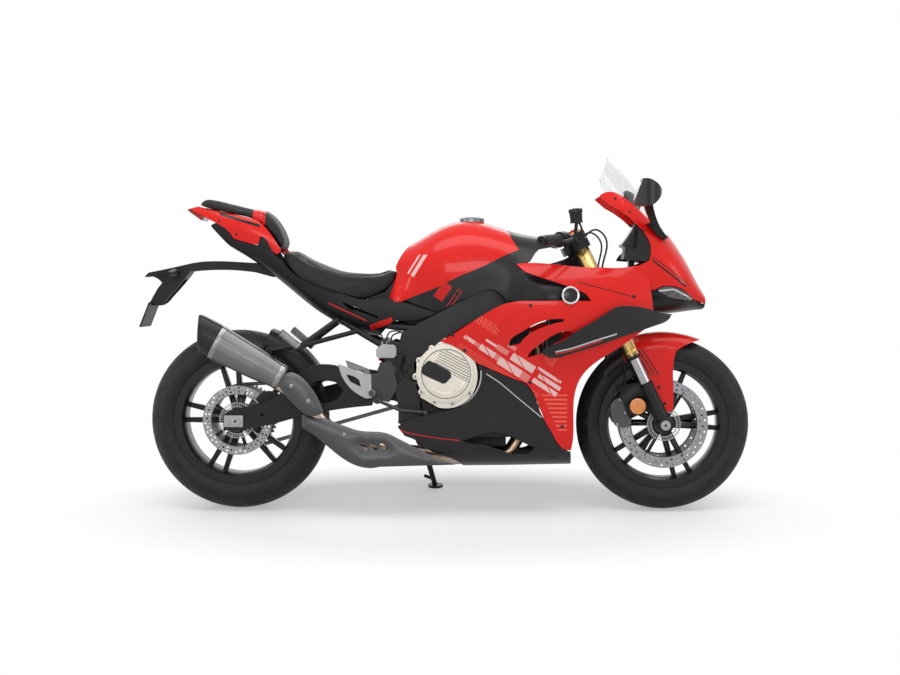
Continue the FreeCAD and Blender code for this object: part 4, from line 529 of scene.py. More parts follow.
# The front end: gold anodised fork legs that run down to chromed sliders, black clamps, black
# cast axle feet with four-piston calipers bolted on behind, a thin red fender and an amber reflector.
FORK_HALF = 104.0
RAKE = math.radians(25.5)
BAND_HEIGHTS = (276, 318, 328)
CAP_HEIGHT = 732
REFLECTOR = (1380, 366)
REFLECTOR_Y = 133
fork_up = np.array((-math.sin(RAKE), 0, math.cos(RAKE)))


def fork_seats(*heights):
    """Seats for turned on both fork legs, at heights above the axle."""
    return [(FRONT_HUB + fork_up * up + (0, s * FORK_HALF, 0), fork_up) for up in heights for s in (-1, 1)]


def outboard(y, *spots):
    """Seats for turned on both sides of the bike, at (x, z) spots and this Y, facing out."""
    return [((x, s * y, z), (0, s, 0)) for x, z in spots for s in (-1, 1)]


def frame_about(direction):
    """A direction at unit length, and two more square to it and to each other."""
    d = unit(direction)
    side = unit(np.cross(d, (0, 0, 1) if abs(d[2]) < 0.9 else (1, 0, 0)))
    return d, side, np.cross(d, side)


def turned(name, profile, seats, finish, body="chassis", steps=32):
    """Copies of a turned profile of (radius, height) pairs, one on each seat (place, direction)."""
    radius, height = np.array(profile, dtype=float).T[..., None]
    turn = np.arange(steps)[:, None, None] * 2 * math.pi / steps
    spots = []
    for place, direction in seats:
        d, side, top = frame_about(direction)
        spots.append(np.asarray(place) + radius * (np.cos(turn) * side + np.sin(turn) * top) + height * d)
    faces = sheet_faces(steps, len(profile), closed_rows=True)
    every = np.concatenate([faces + number * steps * len(profile) for number in range(len(spots))])
    return fitted(solid(name, np.concatenate(spots).reshape(-1, 3), every, finish, 30), body)


def through(knots, steps):
    """Points on a smooth open line through the knots: a natural cubic by chord length."""
    knots = np.array(knots, dtype=float)
    h = np.linalg.norm(np.diff(knots, axis=0), axis=1)
    t = np.concatenate([[0], np.cumsum(h)])
    at = np.linspace(0, t[-1], steps)
    system = np.eye(len(t))
    right = np.zeros(knots.shape)
    inner = np.arange(1, len(t) - 1)
    system[inner, inner - 1] = h[:-1]
    system[inner, inner] = 2 * (h[:-1] + h[1:])
    system[inner, inner + 1] = h[1:]
    right[1:-1] = 6 * np.diff(np.diff(knots, axis=0) / h[:, None], axis=0)
    bend = np.linalg.solve(system, right)
    cell = np.clip(np.searchsorted(t, at, side="right") - 1, 0, len(t) - 2)
    a = ((t[cell + 1] - at) / h[cell])[:, None]
    b = ((at - t[cell]) / h[cell])[:, None]
    curve = ((a ** 3 - a) * bend[cell] + (b ** 3 - b) * bend[cell + 1]) * (h[cell] ** 2 / 6)[:, None]
    return a * knots[cell] + b * knots[cell + 1] + curve


def hose(name, knots, radius, finish, body="chassis", steps=60, sides=14):
    """A tube along a smooth line through the knots, its ring squared to the line at each step."""
    line = through(knots, steps)
    ahead = np.gradient(line, axis=0)
    ahead /= np.linalg.norm(ahead, axis=1)[:, None]
    side = np.cross(ahead, (0.13, 0.97, 0.21))
    side /= np.linalg.norm(side, axis=1)[:, None]
    turn = np.arange(sides)[None, :, None] * 2 * math.pi / sides
    ring = np.cos(turn) * side[:, None] + np.sin(turn) * np.cross(ahead, side)[:, None]
    rows = [0, *range(steps), steps - 1]
    thick = np.full(steps + 2, float(radius))
    thick[[0, -1]] = 0.01
    spots = line[rows][:, None] + thick[:, None, None] * ring[rows]
    piece = solid(name, spots.reshape(-1, 3), sheet_faces(steps + 2, sides, closed_columns=True), finish, 50)
    return fitted(piece, body)


def metal(name, colour, roughness, stretch=(1, 1, 1), scratch=0.03, size=0.8):
    """Metal with a fine grain stretched along its brushing, and light smears in its gloss."""
    finish = Finish(name, Metallic=1.0)
    grain = finish.noise(size, 3, stretch)
    smear = finish.noise(40, 3)
    finish.set("Base Color", finish.tones(smear, colour, 0.88, 1.08))
    finish.set("Roughness", (grain * 0.16 + smear * 0.12) + (roughness - 0.13))
    finish.bump(grain, scratch)
    return finish


def cast_metal(name, colour, roughness):
    """Cast and painted metal: fine sandy bumps, a little uneven in tone."""
    finish = Finish(name, Metallic=0.85, Specular_IOR_Level=0.25)
    sand = finish.noise(1.6, 3)
    finish.set("Base Color", finish.tones(finish.noise(35, 3), colour, 0.85, 1.1))
    finish.set("Roughness", sand.ramp(0.3, 0.7, roughness - 0.06, roughness + 0.08))
    finish.bump(sand, 0.12)
    return finish


def button(radius):
    """The profile of a button-head bolt with its socket, for a head of this radius."""
    head = ((0.01, 0.16), (0.42, 0.16), (0.44, 0.46), (0.52, 0.5), (0.78, 0.4), (0.97, 0.18), (1.0, 0.0))
    return [(r * radius, h * radius) for r, h in head]


gold = metal("gold anodising", (0.78, 0.52, 0.2), 0.26, (8, 8, 0.6), 0.02)
smoothed("fork_tubes", gold)
black_cast = satin("black castings", (0.009, 0.009, 0.01), 0.4, 0.1)
for node in ("fork_clamps", "handlebars"):
    smoothed(node, black_cast, 30, 0.7)
smoothed("fork_bottoms", black_cast)
turned("fork_sliders", [(20.7, 158), (20.9, 162), (20.9, 254)], fork_seats(0),
       metal("hard chrome", (0.36, 0.36, 0.37), 0.16, (1, 1, 1), 0.002), "steering")
turned("fork_seals", [(20.9, 250), (25, 250), (26.4, 253), (26.4, 262), (26.1, 262)], fork_seats(0),
       black_cast, "steering")
turned("fork_bands", [(26.0, 0), (26.6, 0.5), (26.6, 4), (26.0, 4.5)], fork_seats(*BAND_HEIGHTS),
       gold, "steering", 48)
turned("fork_caps", [(0.01, 9), (6, 9), (7, 8), (7, 3), (17, 3), (19, 1.5), (24, 1.5), (25.6, 0),
                     (25.6, -2)], fork_seats(CAP_HEIGHT), metal("red anodising", (0.45, 0.03, 0.03), 0.3),
       "steering")
smoothed("front_calipers", cast_metal("caliper grey", (0.075, 0.075, 0.078), 0.45), 30, 1.6)
steel = metal("machined steel", (0.3, 0.3, 0.31), 0.34, (1, 1, 1), 0.02)
smoothed("front_axle", steel, 30, 0.5)
bolt_steel = metal("bolt steel", (0.24, 0.24, 0.25), 0.32, (1, 1, 1), 0.02)
bolt_black = satin("bolt black", (0.02, 0.02, 0.02), 0.35)
turned("caliper_bolts", button(6.5), outboard(103, (1322, 386), (1312, 300), (1340, 342)), bolt_steel,
       "steering", 16)
amber = Finish("amber reflector", Roughness=0.12, Coat_Weight=1.0)
cells = amber.node("ShaderNodeTexVoronoi", {}, {"Vector": amber.place, "Scale": 0.45}, "Distance")
amber.set("Base Color", amber.mix(cells, (0.85, 0.3, 0.02), (0.5, 0.12, 0.005)))
amber.bump(cells, 0.5)
turned("fork_reflectors", [(0.01, 4.6), (22, 4.6), (26, 3.8), (27.5, 2), (27.5, 0), (0.01, 0)],
       outboard(REFLECTOR_Y, REFLECTOR), amber, "steering", 40)
turned("reflector_brackets", [(0.01, 29), (7, 29), (7, 0), (0.01, 0)], outboard(FORK_HALF, REFLECTOR),
       black_cast, "steering", 16)


# The bars: black tubes with ribbed rubber grips, switch housings, a brake lever and reservoir.
# The hoses run from the master cylinder down between the legs to the calipers, all on the fork.
SIDES = ((-1, "right"), (1, "left"))
SWEEP = math.radians(27)
DROP = math.radians(4)
CUP_AXIS = (-0.093, 0, 1)
grip_rubber = Finish("grip rubber", Roughness=0.7, Base_Color=(0.016, 0.016, 0.016))
bands = []
for side in (-1, 1):
    run = (-math.sin(SWEEP), side * math.cos(SWEEP) * math.cos(DROP), -math.sin(DROP))
    bands.append(grip_rubber.node("ShaderNodeVectorMath", {"operation": "DOT_PRODUCT"},
                                  {0: grip_rubber.place, 1: run}, "Value"))
left = grip_rubber.y > 0
along_bar = bands[0] * (1 - left) + bands[1] * left
grip_rubber.bump((along_bar * 1.3).sine().ramp(-0.4, 0.4), 0.9)
smoothed("grips", grip_rubber)
smoothed("hand_controls", black_cast, 30, 1.0)
hose_black = satin("rubber hose", (0.012, 0.012, 0.012), 0.5)
for side, word in SIDES:
    knots = [(x, side * y, z) for x, y, z in (
        (1190, 176, 938), (1232, 168, 968), (1268, 150, 940), (1262, 124, 860), (1262, 92, 760),
        (1290, 72, 640), (1330, 72, 530), (1342, 84, 460), (1334, 94, 412))]
    hose(word + "_brake_line", knots, 3.2, hose_black, "steering")
turned("fluid_cap", [(0.01, 6.5), (9, 6.5), (10, 5.2), (18, 4.6), (22.4, 3.8), (23.8, 2), (23.8, -8),
                     (22.8, -9.4), (19, -9.4), (0.01, -9)], [((1162, -211.8, 1032.3), CUP_AXIS)],
       satin("cap black", (0.02, 0.02, 0.021), 0.34), "steering", 40)
turned("cup_bands", [(19.2, 0), (21.2, 0), (22, 1.2), (22, 3.2), (21.2, 4.4), (19.2, 4.4)],
       [((1166, -211.8, 989.3), CUP_AXIS), ((1163.6, -211.8, 1014.5), CUP_AXIS)], black_cast, "steering",
       40)
hose("fluid_feed", [(1172, -206, 994), (1182, -202, 976), (1180, -198, 954), (1166, -196, 946)], 3.6,
     hose_black, "steering")
turned("banjo_bolts", [(0.01, 9), (5, 9), (5, 5), (7.5, 5), (7.5, 0), (0.01, 0)],
       [((1334, s * 97, 404), (0.1, 0, 1)) for s in (-1, 1)], bolt_steel, "steering", 12)


# The frame is two pressed aluminium spars with pivot plates, painted dark grey, with tube rails
# bolted on behind for the seats. The swingarm is satin black and carries the hugger and caliper.
SHOCK_LOW = np.array((542.0, 0, 405.0))
SHOCK_HIGH = np.array((512.0, 0, 559.0))
SPRING_TURNS = 6
SPRING_RADIUS = 31
plastic = satin("black plastic", (0.008, 0.008, 0.009), 0.46, 0.1)
for node, finish, slot, angle, rounding in (
        ("frame", satin("frame grey", (0.017, 0.017, 0.019), 0.4, 0.06, 0.1), "frame_black", 28, 0.6),
        ("swingarm", satin("swingarm black", (0.011, 0.011, 0.012), 0.42, 0.06), "frame_black", 28, 1.6),
        ("rear_hugger", plastic, "black_trim", 30, 0.8), ("plate_holder", plastic, "black_trim", 30, 0.8),
        ("rear_axle", steel, "axle_steel", 30, 0.7), ("rear_caliper", black_cast, "black_cast", 30, 1.5),
        ("chain", metal("chain steel", (0.16, 0.15, 0.14), 0.4), "chain_steel", 30, 0),
        ("rear_sprocket", metal("sprocket steel", (0.28, 0.28, 0.29), 0.35), "disc_steel", 30, 0),
        ("side_stand", black_cast, "stand_steel", 30, 0.8),
        ("stand_bracket", black_cast, "stand_steel", 30, 0.8),
        ("rear_shock", black_cast, "black_cast", 30, 0)):
    smoothed(node, finish, angle, rounding)
shock_run = SHOCK_HIGH - SHOCK_LOW
_, shock_side, shock_top = frame_about(shock_run)
t = np.linspace(0, 1, 12 * SPRING_TURNS + 1)[:, None]
turn = 2 * math.pi * SPRING_TURNS * t
coil = SHOCK_LOW + shock_run * (0.24 + 0.62 * t)
coil += SPRING_RADIUS * (np.cos(turn) * shock_side + np.sin(turn) * shock_top)
hose("shock_spring", coil, 4.6, satin("spring red", (0.32, 0.012, 0.012), 0.35, 0.02, 0.5), "chassis",
     420, 10)

# The engine shows between the fairing panels as a dark casting, with grey covers on its left and
# the finned radiator ahead of it. The round cover on its right has a section of its own below.
smoothed("engine_block", cast_metal("engine casting", (0.022, 0.022, 0.023), 0.5), 30, 1.2)
left_cast = cast_metal("left cover casting", (0.09, 0.088, 0.084), 0.42)
smoothed("left_engine_covers", left_cast, 30, 1.2)
champagne = cast_metal("champagne casting", (0.62, 0.58, 0.52), 0.34)
core = Finish("radiator core", Base_Color=(0.03, 0.03, 0.032), Roughness=0.5, Metallic=0.5)
core.bump((core.z * 2.1).sine().ramp(-1, 1) * (core.y * 0.6).sine().ramp(-0.9, 0.9), 1.2)
smoothed("radiator", core)

# The exhaust's header pipes have gone brown with heat. The black hangers of the pillion's pegs
# stand behind them. The heat shields and the silencer follow further down.
pipe = metal("heat-tinted pipe", (0.5, 0.4, 0.32), 0.3, (1, 1, 1), 0.02, 1.2)
heat = pipe.noise(90, 3).ramp(0.3, 0.7)
pipe.set("Base Color", pipe.mix(heat, (0.34, 0.22, 0.13), (0.46, 0.4, 0.36)))
smoothed("exhaust_pipes", pipe)
smoothed("pillion_hangers", black_cast, 30, 0.8)


# Places on the outside of a piece, found by a straight look at the bike from the side or
# from above, so bolts, badges and strips sit on the real surface and not near it.
BESIDE = 900
SUNK = 0.4
PATCH_STEPS = 48
PATCH_RINGS = (1.0, 0.97, 0.7, 0.4, 0.02)


def read(mesh, field="co"):
    """The place of each of a mesh's vertices, or what else the field names."""
    flat = np.empty(len(mesh.vertices) * 3)
    mesh.vertices.foreach_get(field, flat)
    return flat.reshape(-1, 3)


def surface_of(piece):
    """A searchable copy of a piece's surface, upright and in millimetres."""
    faces = [list(face.vertices) for face in piece.data.polygons]
    return BVHTree.FromPolygons(upright(read(piece.data)).tolist(), faces)


def met(tree, start, direction):
    """Where a look from start along direction meets the surface, and which way out is there."""
    place, normal, _, _ = tree.ray_cast(start, direction)
    if place is None:
        raise ValueError("nothing is met from " + str(start))
    normal = np.array(normal)
    if np.dot(normal, direction) > 0:
        normal = -normal
    return np.array(place), normal


def from_side(tree, x, z, side=-1):
    """Where a level look at (x, z) from far out on one side meets the surface."""
    return met(tree, (x, side * BESIDE, z), (0, -side, 0))


def fixings(name, node, spots, radius, finish=bolt_black, body="chassis", sides=(-1, 1)):
    """Button-head bolts on a node's outer faces at (x, z) spots, on the right and left sides."""
    tree = surface_of(cad[node])
    met_at = [from_side(tree, x, z, side) for side in sides for x, z in spots]
    seats = [(place - normal * SUNK, normal) for place, normal in met_at]
    return turned(name, button(radius), seats, finish, body, 16)


def patch(name, tree, centre, v_axis, half_u, half_v, look, proud, finish, square):
    """A thin plate that lies on a surface: a superellipse about centre, dropped on it along look.

    It is half_u wide to each side along Y. Its rings shrink to a middle point, and a closed skin
    is made of its face, back and rim."""
    turn = np.arange(PATCH_STEPS) * 2 * math.pi / PATCH_STEPS
    rim_u, rim_v = (np.sign(wave) * np.abs(wave) ** (2 / square) * half
                    for wave, half in ((np.cos(turn), half_u), (np.sin(turn), half_v)))
    face = []
    for share in PATCH_RINGS:
        for a, b in zip(rim_u * share, rim_v * share):
            place, _ = met(tree, np.array(centre) + (0, a, 0) + v_axis * b - look * 120, look)
            face.append(place - look * (proud - (SUNK if share == 1.0 else 0.0)))
    face = np.array(face).reshape(len(PATCH_RINGS), PATCH_STEPS, 3)
    back = face + look * (proud + 0.6)
    skin = np.concatenate([face[::-1], back]).reshape(-1, 3)
    faces = sheet_faces(2 * len(PATCH_RINGS), PATCH_STEPS, True, True)
    return fitted(solid(name, skin, faces, finish, 40), "chassis")


def bar(name, outline, low, high, finish, bevel):
    """A flat plate with this (x, z) outline from low to high in Y, its edges rounded by bevel."""
    ends = [np.insert(np.array(outline, dtype=float), 1, y, axis=1) for y in (low, high)]
    piece = solid(name, np.concatenate(ends), prism_faces(len(outline)), finish, 30)
    soften(piece, bevel)
    return fitted(piece, "chassis")


# The right engine cover. Its round face is turned and brushed, with slanted grooves cut across the
# upper half, two raised curved bars, a dark slanted pad, and a flange held by a ring of bolts.
CLUTCH = np.array((727.0, 481.0))
ARC_RADIUS = 66
ARC_HALF = 4.5
FLANGE_MIDDLE = (727, 478)
FLANGE_HALF = (104, 100)
FLANGE_Y = -205.5
BOLT_Y = -210.8
FACE_Y = -233
GROOVE_PITCH = 8.6
GROOVE_WIDE = 2.4
GROOVED = (16, 76)
face_finish = cast_metal("brushed champagne", (0.60, 0.56, 0.49), 0.3)
slope = math.radians(-27)
off_x = face_finish.x - CLUTCH[0]
off_z = face_finish.z - CLUTCH[1]
along_cut = off_x * math.cos(slope) + off_z * math.sin(slope)
over_cut = off_z * math.cos(slope) - off_x * math.sin(slope)
from_centre = length(off_x, off_z)
cuts = ((over_cut - GROOVED[0]) % GROOVE_PITCH < GROOVE_WIDE) * over_cut.within(*GROOVED)
cuts = cuts * (from_centre < 79) * (along_cut > -52)
rim_line = (from_centre - 83).size() < 1.3
low_line = ((over_cut - 10).size() < 0.9) * (along_cut > 20) * (from_centre < 80)
sunk = cuts.most(rim_line).most(low_line) * (face_finish.y < -230)
bare = face_finish.mix(face_finish.noise(35, 3), (0.5, 0.47, 0.41), (0.66, 0.62, 0.55))
# The grooves, the ring and the low line are cut by bump only, and the dark brown put in them is painted
# shade.
face_finish.set("Base Color", face_finish.mix(sunk, bare, (0.10, 0.09, 0.075)))
face_finish.bump((1 - sunk) + face_finish.noise(1.2, 2) * 0.012, 1.4)
smoothed("clutch_cover", face_finish, 30, 1.2)
gloss_black = satin("gloss black", (0.006, 0.006, 0.006), 0.18, 0.0, 0.6)
bar("clutch_pad", [(664, 524), (673, 526), (735, 494), (744, 485), (745, 470), (726, 450), (716, 448),
                   (651, 478), (645, 486), (646, 503)], FACE_Y - 4.5, FACE_Y, gloss_black, 1.0)
for number, (start, end) in enumerate(((-134, -72), (-58, -26))):
    turn = np.radians(np.linspace(start, end, 20))[:, None]
    ray = np.concatenate([np.cos(turn), np.sin(turn)], 1)
    outline = CLUTCH + np.concatenate([(ARC_RADIUS + ARC_HALF) * ray, (ARC_RADIUS - ARC_HALF) * ray[::-1]])
    bar("clutch_arc_" + str(number), outline, FACE_Y - 3, FACE_Y, champagne, 0.5)
flange_spots = []
for angle in np.radians((38, 76, 118, 152, 184, 216, 248, 282, 320)):
    flange_spots.append((FLANGE_MIDDLE[0] + FLANGE_HALF[0] * math.cos(angle),
                         FLANGE_MIDDLE[1] + FLANGE_HALF[1] * math.sin(angle)))
turned("clutch_flange_bosses", [(0.01, 5), (9, 5), (10.5, 3.5), (11, 0), (11, -14), (0.01, -14)],
       [((x, FLANGE_Y, z), (0, -1, 0)) for x, z in flange_spots], champagne, "chassis", 24)
turned("clutch_flange_bolts", button(6), [((x, BOLT_Y, z), (0, -1, 0)) for x, z in flange_spots], bolt_steel,
       "chassis", 16)
turned("oil_filler_cap", [(0.01, 12), (9, 12), (10, 11), (10, 4), (15, 4), (16, 3), (16, -6), (0.01, -6)],
       [((812, -208, 545), (0, -1, 0))], gloss_black, "chassis", 12)


# The silencer: a brushed six-sided can with soft corners and a crease along its side, banded and
# riveted at both ends. The black end cap is bevelled round a sunk outlet.
SILENCER_REAR = np.array((-88.0, -190.0, 603.0))
SILENCER_FRONT = np.array((172.0, -190.0, 462.0))
CAN_CORNERS = np.array([(0.5, 0.28), (0.16, 0.5), (-0.22, 0.5), (-0.5, 0.2), (-0.5, -0.2), (-0.22, -0.5),
                        (0.16, -0.5), (0.5, -0.28)])
CORNER_STEPS = 7
RING_STEPS = CORNER_STEPS * len(CAN_CORNERS)
CORNER_REACH = 0.3
CAP_DEPTH = 36
CAN_TALL = (126, 104, 82)
CAN_WIDE = (104, 96, 80)
RIVET_HALF_GAP = 6.76
can_length = float(np.linalg.norm(SILENCER_FRONT - SILENCER_REAR))
can_axis = (SILENCER_FRONT - SILENCER_REAR) / can_length
can_up = np.array((-can_axis[2], 0, can_axis[0]))


def can_rings(stations, slant=0.0):
    """Rings of the can at (distance from the rear, growth in mm): corners rounded over their sides.

    A slant carries each ring's top back and its foot ahead, and more so the nearer the rear it lies."""
    ring = []
    for number, corner in enumerate(CAN_CORNERS):
        for t in np.linspace(-1, 1, CORNER_STEPS):
            towards = CAN_CORNERS[number - 1 if t < 0 else (number + 1) % len(CAN_CORNERS)]
            pull = corner + (towards - corner) * CORNER_REACH * abs(t)
            ring.append(pull * (1 - 0.055 * (1 - abs(t)) ** 2))
    ring = np.array(ring)
    rings = []
    for distance, growth in stations:
        tall = np.interp(distance, (0, 200, can_length), CAN_TALL) + 2 * growth
        wide = np.interp(distance, (0, 200, can_length), CAN_WIDE) + 2 * growth
        centre = SILENCER_REAR + can_axis * distance
        lean_back = can_axis * (-slant * max(0.0, CAP_DEPTH - distance) / CAP_DEPTH * (ring[:, :1] + 0.5))
        rings.append(centre + lean_back + ring[:, :1] * tall * can_up + ring[:, 1:] * (0, wide, 0))
    return np.concatenate(rings)


def can(name, stations, finish, slant=0.0):
    """A piece of the silencer: a skin over the can's rings at these stations."""
    faces = sheet_faces(len(stations), RING_STEPS, closed_columns=True)
    return fitted(solid(name, can_rings(stations, slant), faces, finish, 42), "chassis")


brushed = metal("brushed silencer", (0.15, 0.15, 0.153), 0.38, (0.5, 9, 0.5), 0.03)
stations = [(34, -40), (34, -1.2), (36, -0.4)] + [(d, -0.4) for d in np.linspace(40, can_length - 20, 16)]
stations += [(can_length - 4, -0.6), (can_length, -4), (can_length, -30)]
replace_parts(can("silencer_can", stations, brushed), "silencer")
band_finish = metal("silencer bands", (0.24, 0.24, 0.245), 0.32, (1, 1, 1), 0.02)
for number, start in enumerate((CAP_DEPTH, can_length - 22)):
    stations = [(start + reach, growth) for reach, growth in (
        (0, -0.4), (0, 0.9), (1, 1.3), (15, 1.3), (16, 0.9), (16, -0.4))]
    can("silencer_band_" + str(number), stations, band_finish)
rivets = []
for distance in (44, can_length - 14):
    ring = can_rings([(distance, 1.2)])
    for number in range(3, RING_STEPS, CORNER_STEPS):
        spot = (ring[number] + ring[(number + CORNER_STEPS) % RING_STEPS]) / 2
        out = spot - SILENCER_REAR - can_axis * distance
        out = unit(out - can_axis * np.dot(out, can_axis))
        slide = np.cross(can_axis, out) * RIVET_HALF_GAP
        rivets += [(spot - slide, out), (spot + slide, out)]
turned("silencer_rivets", [(0.01, 1.6), (1.8, 1.4), (3.0, 0.5), (3.2, -1), (0.01, -1)], rivets, bolt_steel,
       steps=12)
cap_black = satin("end cap black", (0.01, 0.01, 0.011), 0.34, 0.04, 0.2)
can("silencer_end_cap", [(36, -6), (36, -0.2), (30, 0.4), (10, -1.5), (1, -4), (-1, -7), (1, -12), (12, -20),
                         (26, -26), (28, -50)], cap_black, 54)
turned("silencer_outlet", [(21, 34), (24, 34), (25.5, 4), (24.5, 1.5), (21.5, 1.5), (20.5, 4), (20.5, 34)],
       [(SILENCER_REAR + can_up * 8, can_axis)], metal("outlet steel", (0.3, 0.28, 0.26), 0.3), "chassis",
       40)


# The heat shields over the collector and the link pipe: grey castings, each dished, with its
# rim bent in towards the bike.
RIM_REACH = 38
RIM_CELL = 9


def dish(piece, outer_y, inner_y, drop):
    """Bends a flat plate's rim towards the bike, drop millimetres deep, as a pressed shield's is.

    The plate lies between outer_y and inner_y. Its flat faces are first cut into cells."""
    work = bmesh.new()
    work.from_mesh(piece.data)
    spots = upright(np.array([vert.co for vert in work.verts]))
    for normal, number in (((1, 0, 0), 0), ((0, 0, 1), 2)):
        for level in np.arange(spots[:, number].min() + RIM_CELL, spots[:, number].max(), RIM_CELL):
            bmesh.ops.bisect_plane(work, geom=work.verts[:] + work.edges[:] + work.faces[:], dist=1e-6,
                                   plane_co=parked(np.multiply(normal, level)), plane_no=leaned(normal))
    work.verts.index_update()
    spots = upright(np.array([vert.co for vert in work.verts]))
    rim = [[end.index for end in edge.verts] for edge in work.edges
           if len(edge.link_faces) == 2 and edge.calc_face_angle(0) > 0.8
           and all(abs(spots[end.index, 1] - outer_y) < 0.5 for end in edge.verts)]
    start = spots[[pair[0] for pair in rim]][:, (0, 2)]
    run = spots[[pair[1] for pair in rim]][:, (0, 2)] - start
    for vert, spot in zip(work.verts, spots):
        if not outer_y - 0.5 < spot[1] < inner_y + 0.5:
            continue
        share = np.clip(((spot[[0, 2]] - start) * run).sum(1) / (run * run).sum(1), 0, 1)
        away = np.linalg.norm(spot[[0, 2]] - start - run * share[:, None], axis=1).min()
        vert.co = parked(spot + (0, drop * (1 - min(away / RIM_REACH, 1)) ** 2, 0))
    work.to_mesh(piece.data)
    work.free()
    shaded(piece.data, piece.data.materials[0], 30)


shield = cast_metal("shield grey", (0.085, 0.085, 0.088), 0.4)
shields = smoothed("exhaust_shields", shield, 30, 0.9)
dish(shields, -184, -178, 13)
dish(shields, -236, -229, 14)
fixings("shield_bolts", "exhaust_shields", [(204, 439), (262, 388), (378, 270)], 7.5, bolt_steel,
        sides=(-1,))

# The rearsets: cast plates and pegs painted black, with bright heel guards screwed on. Knurled
# aluminium sleeves are pressed on every peg, the rider's and the pillion's.
rest = Finish("rearset black and silver")
bright = rest.y.size().within(151.6, 155.6) * rest.x.within(340, 469) * (rest.z > 393)
rest.set("Metallic", bright.ramp(0, 1))
tone = rest.noise(40, 3)
rest.set("Base Color", rest.mix(bright, rest.mix(tone, (0.008, 0.008, 0.009), (0.013, 0.013, 0.014)),
                                rest.mix(tone, (0.25, 0.25, 0.26), (0.34, 0.34, 0.35))))
rest.set("Roughness", tone.ramp(0.2, 0.8, 0.34, 0.44))
rest.bump(rest.noise(1.2, 2), 0.06)
smoothed("rearsets", rest, 30, 0.8)
knurl = metal("knurled aluminium", (0.28, 0.28, 0.29), 0.36)
teeth = (((knurl.x + knurl.z) * 1.5).sine() * ((knurl.y - knurl.z) * 1.5).sine()).ramp(-0.4, 0.4)
knurl.bump(teeth, 0.9)
rider_pegs = []
pillion_pegs = []
for side in (-1, 1):
    rider_pegs.append(((476.0, side * 160.0, 411.3), (0, side * 96.0, 6.0)))
    start = np.array((236.0, side * 174.0, 558.0))
    run = unit((-74, side * 10, 62))
    pillion_pegs.append((start + run * 18, run))
turned("rider_peg_sleeves", [(10, 0), (11.2, 0.6), (11.2, 5), (10.4, 6), (10.4, 9), (11.2, 10), (11.2, 70),
                             (10.4, 71), (10.4, 74), (11.2, 75), (11.2, 82), (10, 82.6)], rider_pegs, knurl)
turned("pillion_peg_sleeves", [(13, 0), (14.2, 0.8), (14.2, 8), (13.4, 9), (13.4, 12), (14.2, 13),
                               (14.2, 62), (13.4, 63), (13.4, 66), (14.2, 67), (14.2, 76), (13, 76.8)],
       pillion_pegs, knurl)


# Behind the right footrest: the rear brake's fluid pot on a bracket from the frame, with its hose
# down to the master cylinder, and the bright block of the anti-lock unit's pump.
PUMP_Y = -129
UNIONS = ((506, 470), (522, 540), (538, 600))
bar("pump_block", [(486, 534), (500, 530), (548, 530), (556, 540), (556, 566), (548, 576), (506, 578),
                   (486, 562)], -146, -112, cast_metal("pump aluminium", (0.30, 0.30, 0.31), 0.42),
    2.5)
bar("pump_bracket", [(540, 552), (600, 548), (600, 566), (540, 570)], -140, -136, black_cast,
    1)
turned("pump_unions", [(0.01, 10), (3.4, 10), (4.2, 9), (4.2, 3), (6, 3), (6, 0), (0.01, 0)],
       [((x, PUMP_Y, 577), (0, 0, 1)) for x, end in UNIONS], bolt_steel, steps=12)
turned("fluid_pot", [(0.01, 34), (12, 34), (14.5, 32), (14.5, 25), (13, 24), (12.6, 2), (11, 0), (0.01, 0)],
       [((566, -158, 508), (0.1, 0, 1))], satin("pot black", (0.014, 0.014, 0.015), 0.3), "chassis",
       28)
hose("fluid_hose", [(566, -158, 510), (566, -158, 494), (576, -157, 478), (596, -156, 468),
                    (612, -155, 452)], 4, hose_black, steps=30)
for number, (x, end) in enumerate(UNIONS):
    knots = [(x, PUMP_Y, 586), (x, PUMP_Y, 602), ((x + end) / 2, -124, 618), (end, -118, 622),
             (end + 30, -112, 620)]
    hose("pump_line_" + str(number), knots, 2.6, hose_black, steps=30)

# Under the tank and seat: the black air box between the frame's spars, and the seats' bases, all
# moulded in plain black plastic. The pillion's base follows the inside of the tail.
BASE_LINE = np.array([(-112, 1046), (-80, 1040), (-40, 1029), (0, 1018), (50, 1006), (74, 998), (102, 972),
                      (134, 928), (146, 908)], dtype=float)
box_black = satin("air box black", (0.008, 0.008, 0.009), 0.5, 0.1)
bar("air_box", [(524, 712), (536, 664), (600, 642), (690, 648), (760, 690), (960, 716), (1000, 740),
                (960, 800), (700, 790), (604, 735)], -98, 98, box_black, 6)
bar("rider_seat_base", [(250, 786), (330, 756), (395, 737), (446, 731), (515, 758), (542, 790), (548, 760),
                        (566, 726), (520, 722), (428, 716), (360, 740), (290, 764)], -104, 104, box_black,
    2)


def sheet(name, rows, finish, crease, thickness, offset):
    """A sheet of this thickness in millimetres, on the chassis, from rows of points."""
    rows = np.array(rows)
    piece = solid(name, rows.reshape(-1, 3), sheet_faces(*rows.shape[:2]), finish, crease)
    thick = piece.modifiers.new("thickness", "SOLIDIFY")
    thick.thickness = thickness / 1000
    thick.offset = offset
    fitted(piece, "chassis")


tail_tree = surface_of(cad["tail_fairing"])
half_widths = [-from_side(tail_tree, x, z - 6)[0][1] - 5 for x, z in BASE_LINE]
rows = [[(x, half * share, z) for share in np.linspace(-1, 1, 9)]
        for (x, z), half in zip(BASE_LINE, half_widths)]
sheet("pillion_seat_base", rows, box_black, 40, 4, 0.0)


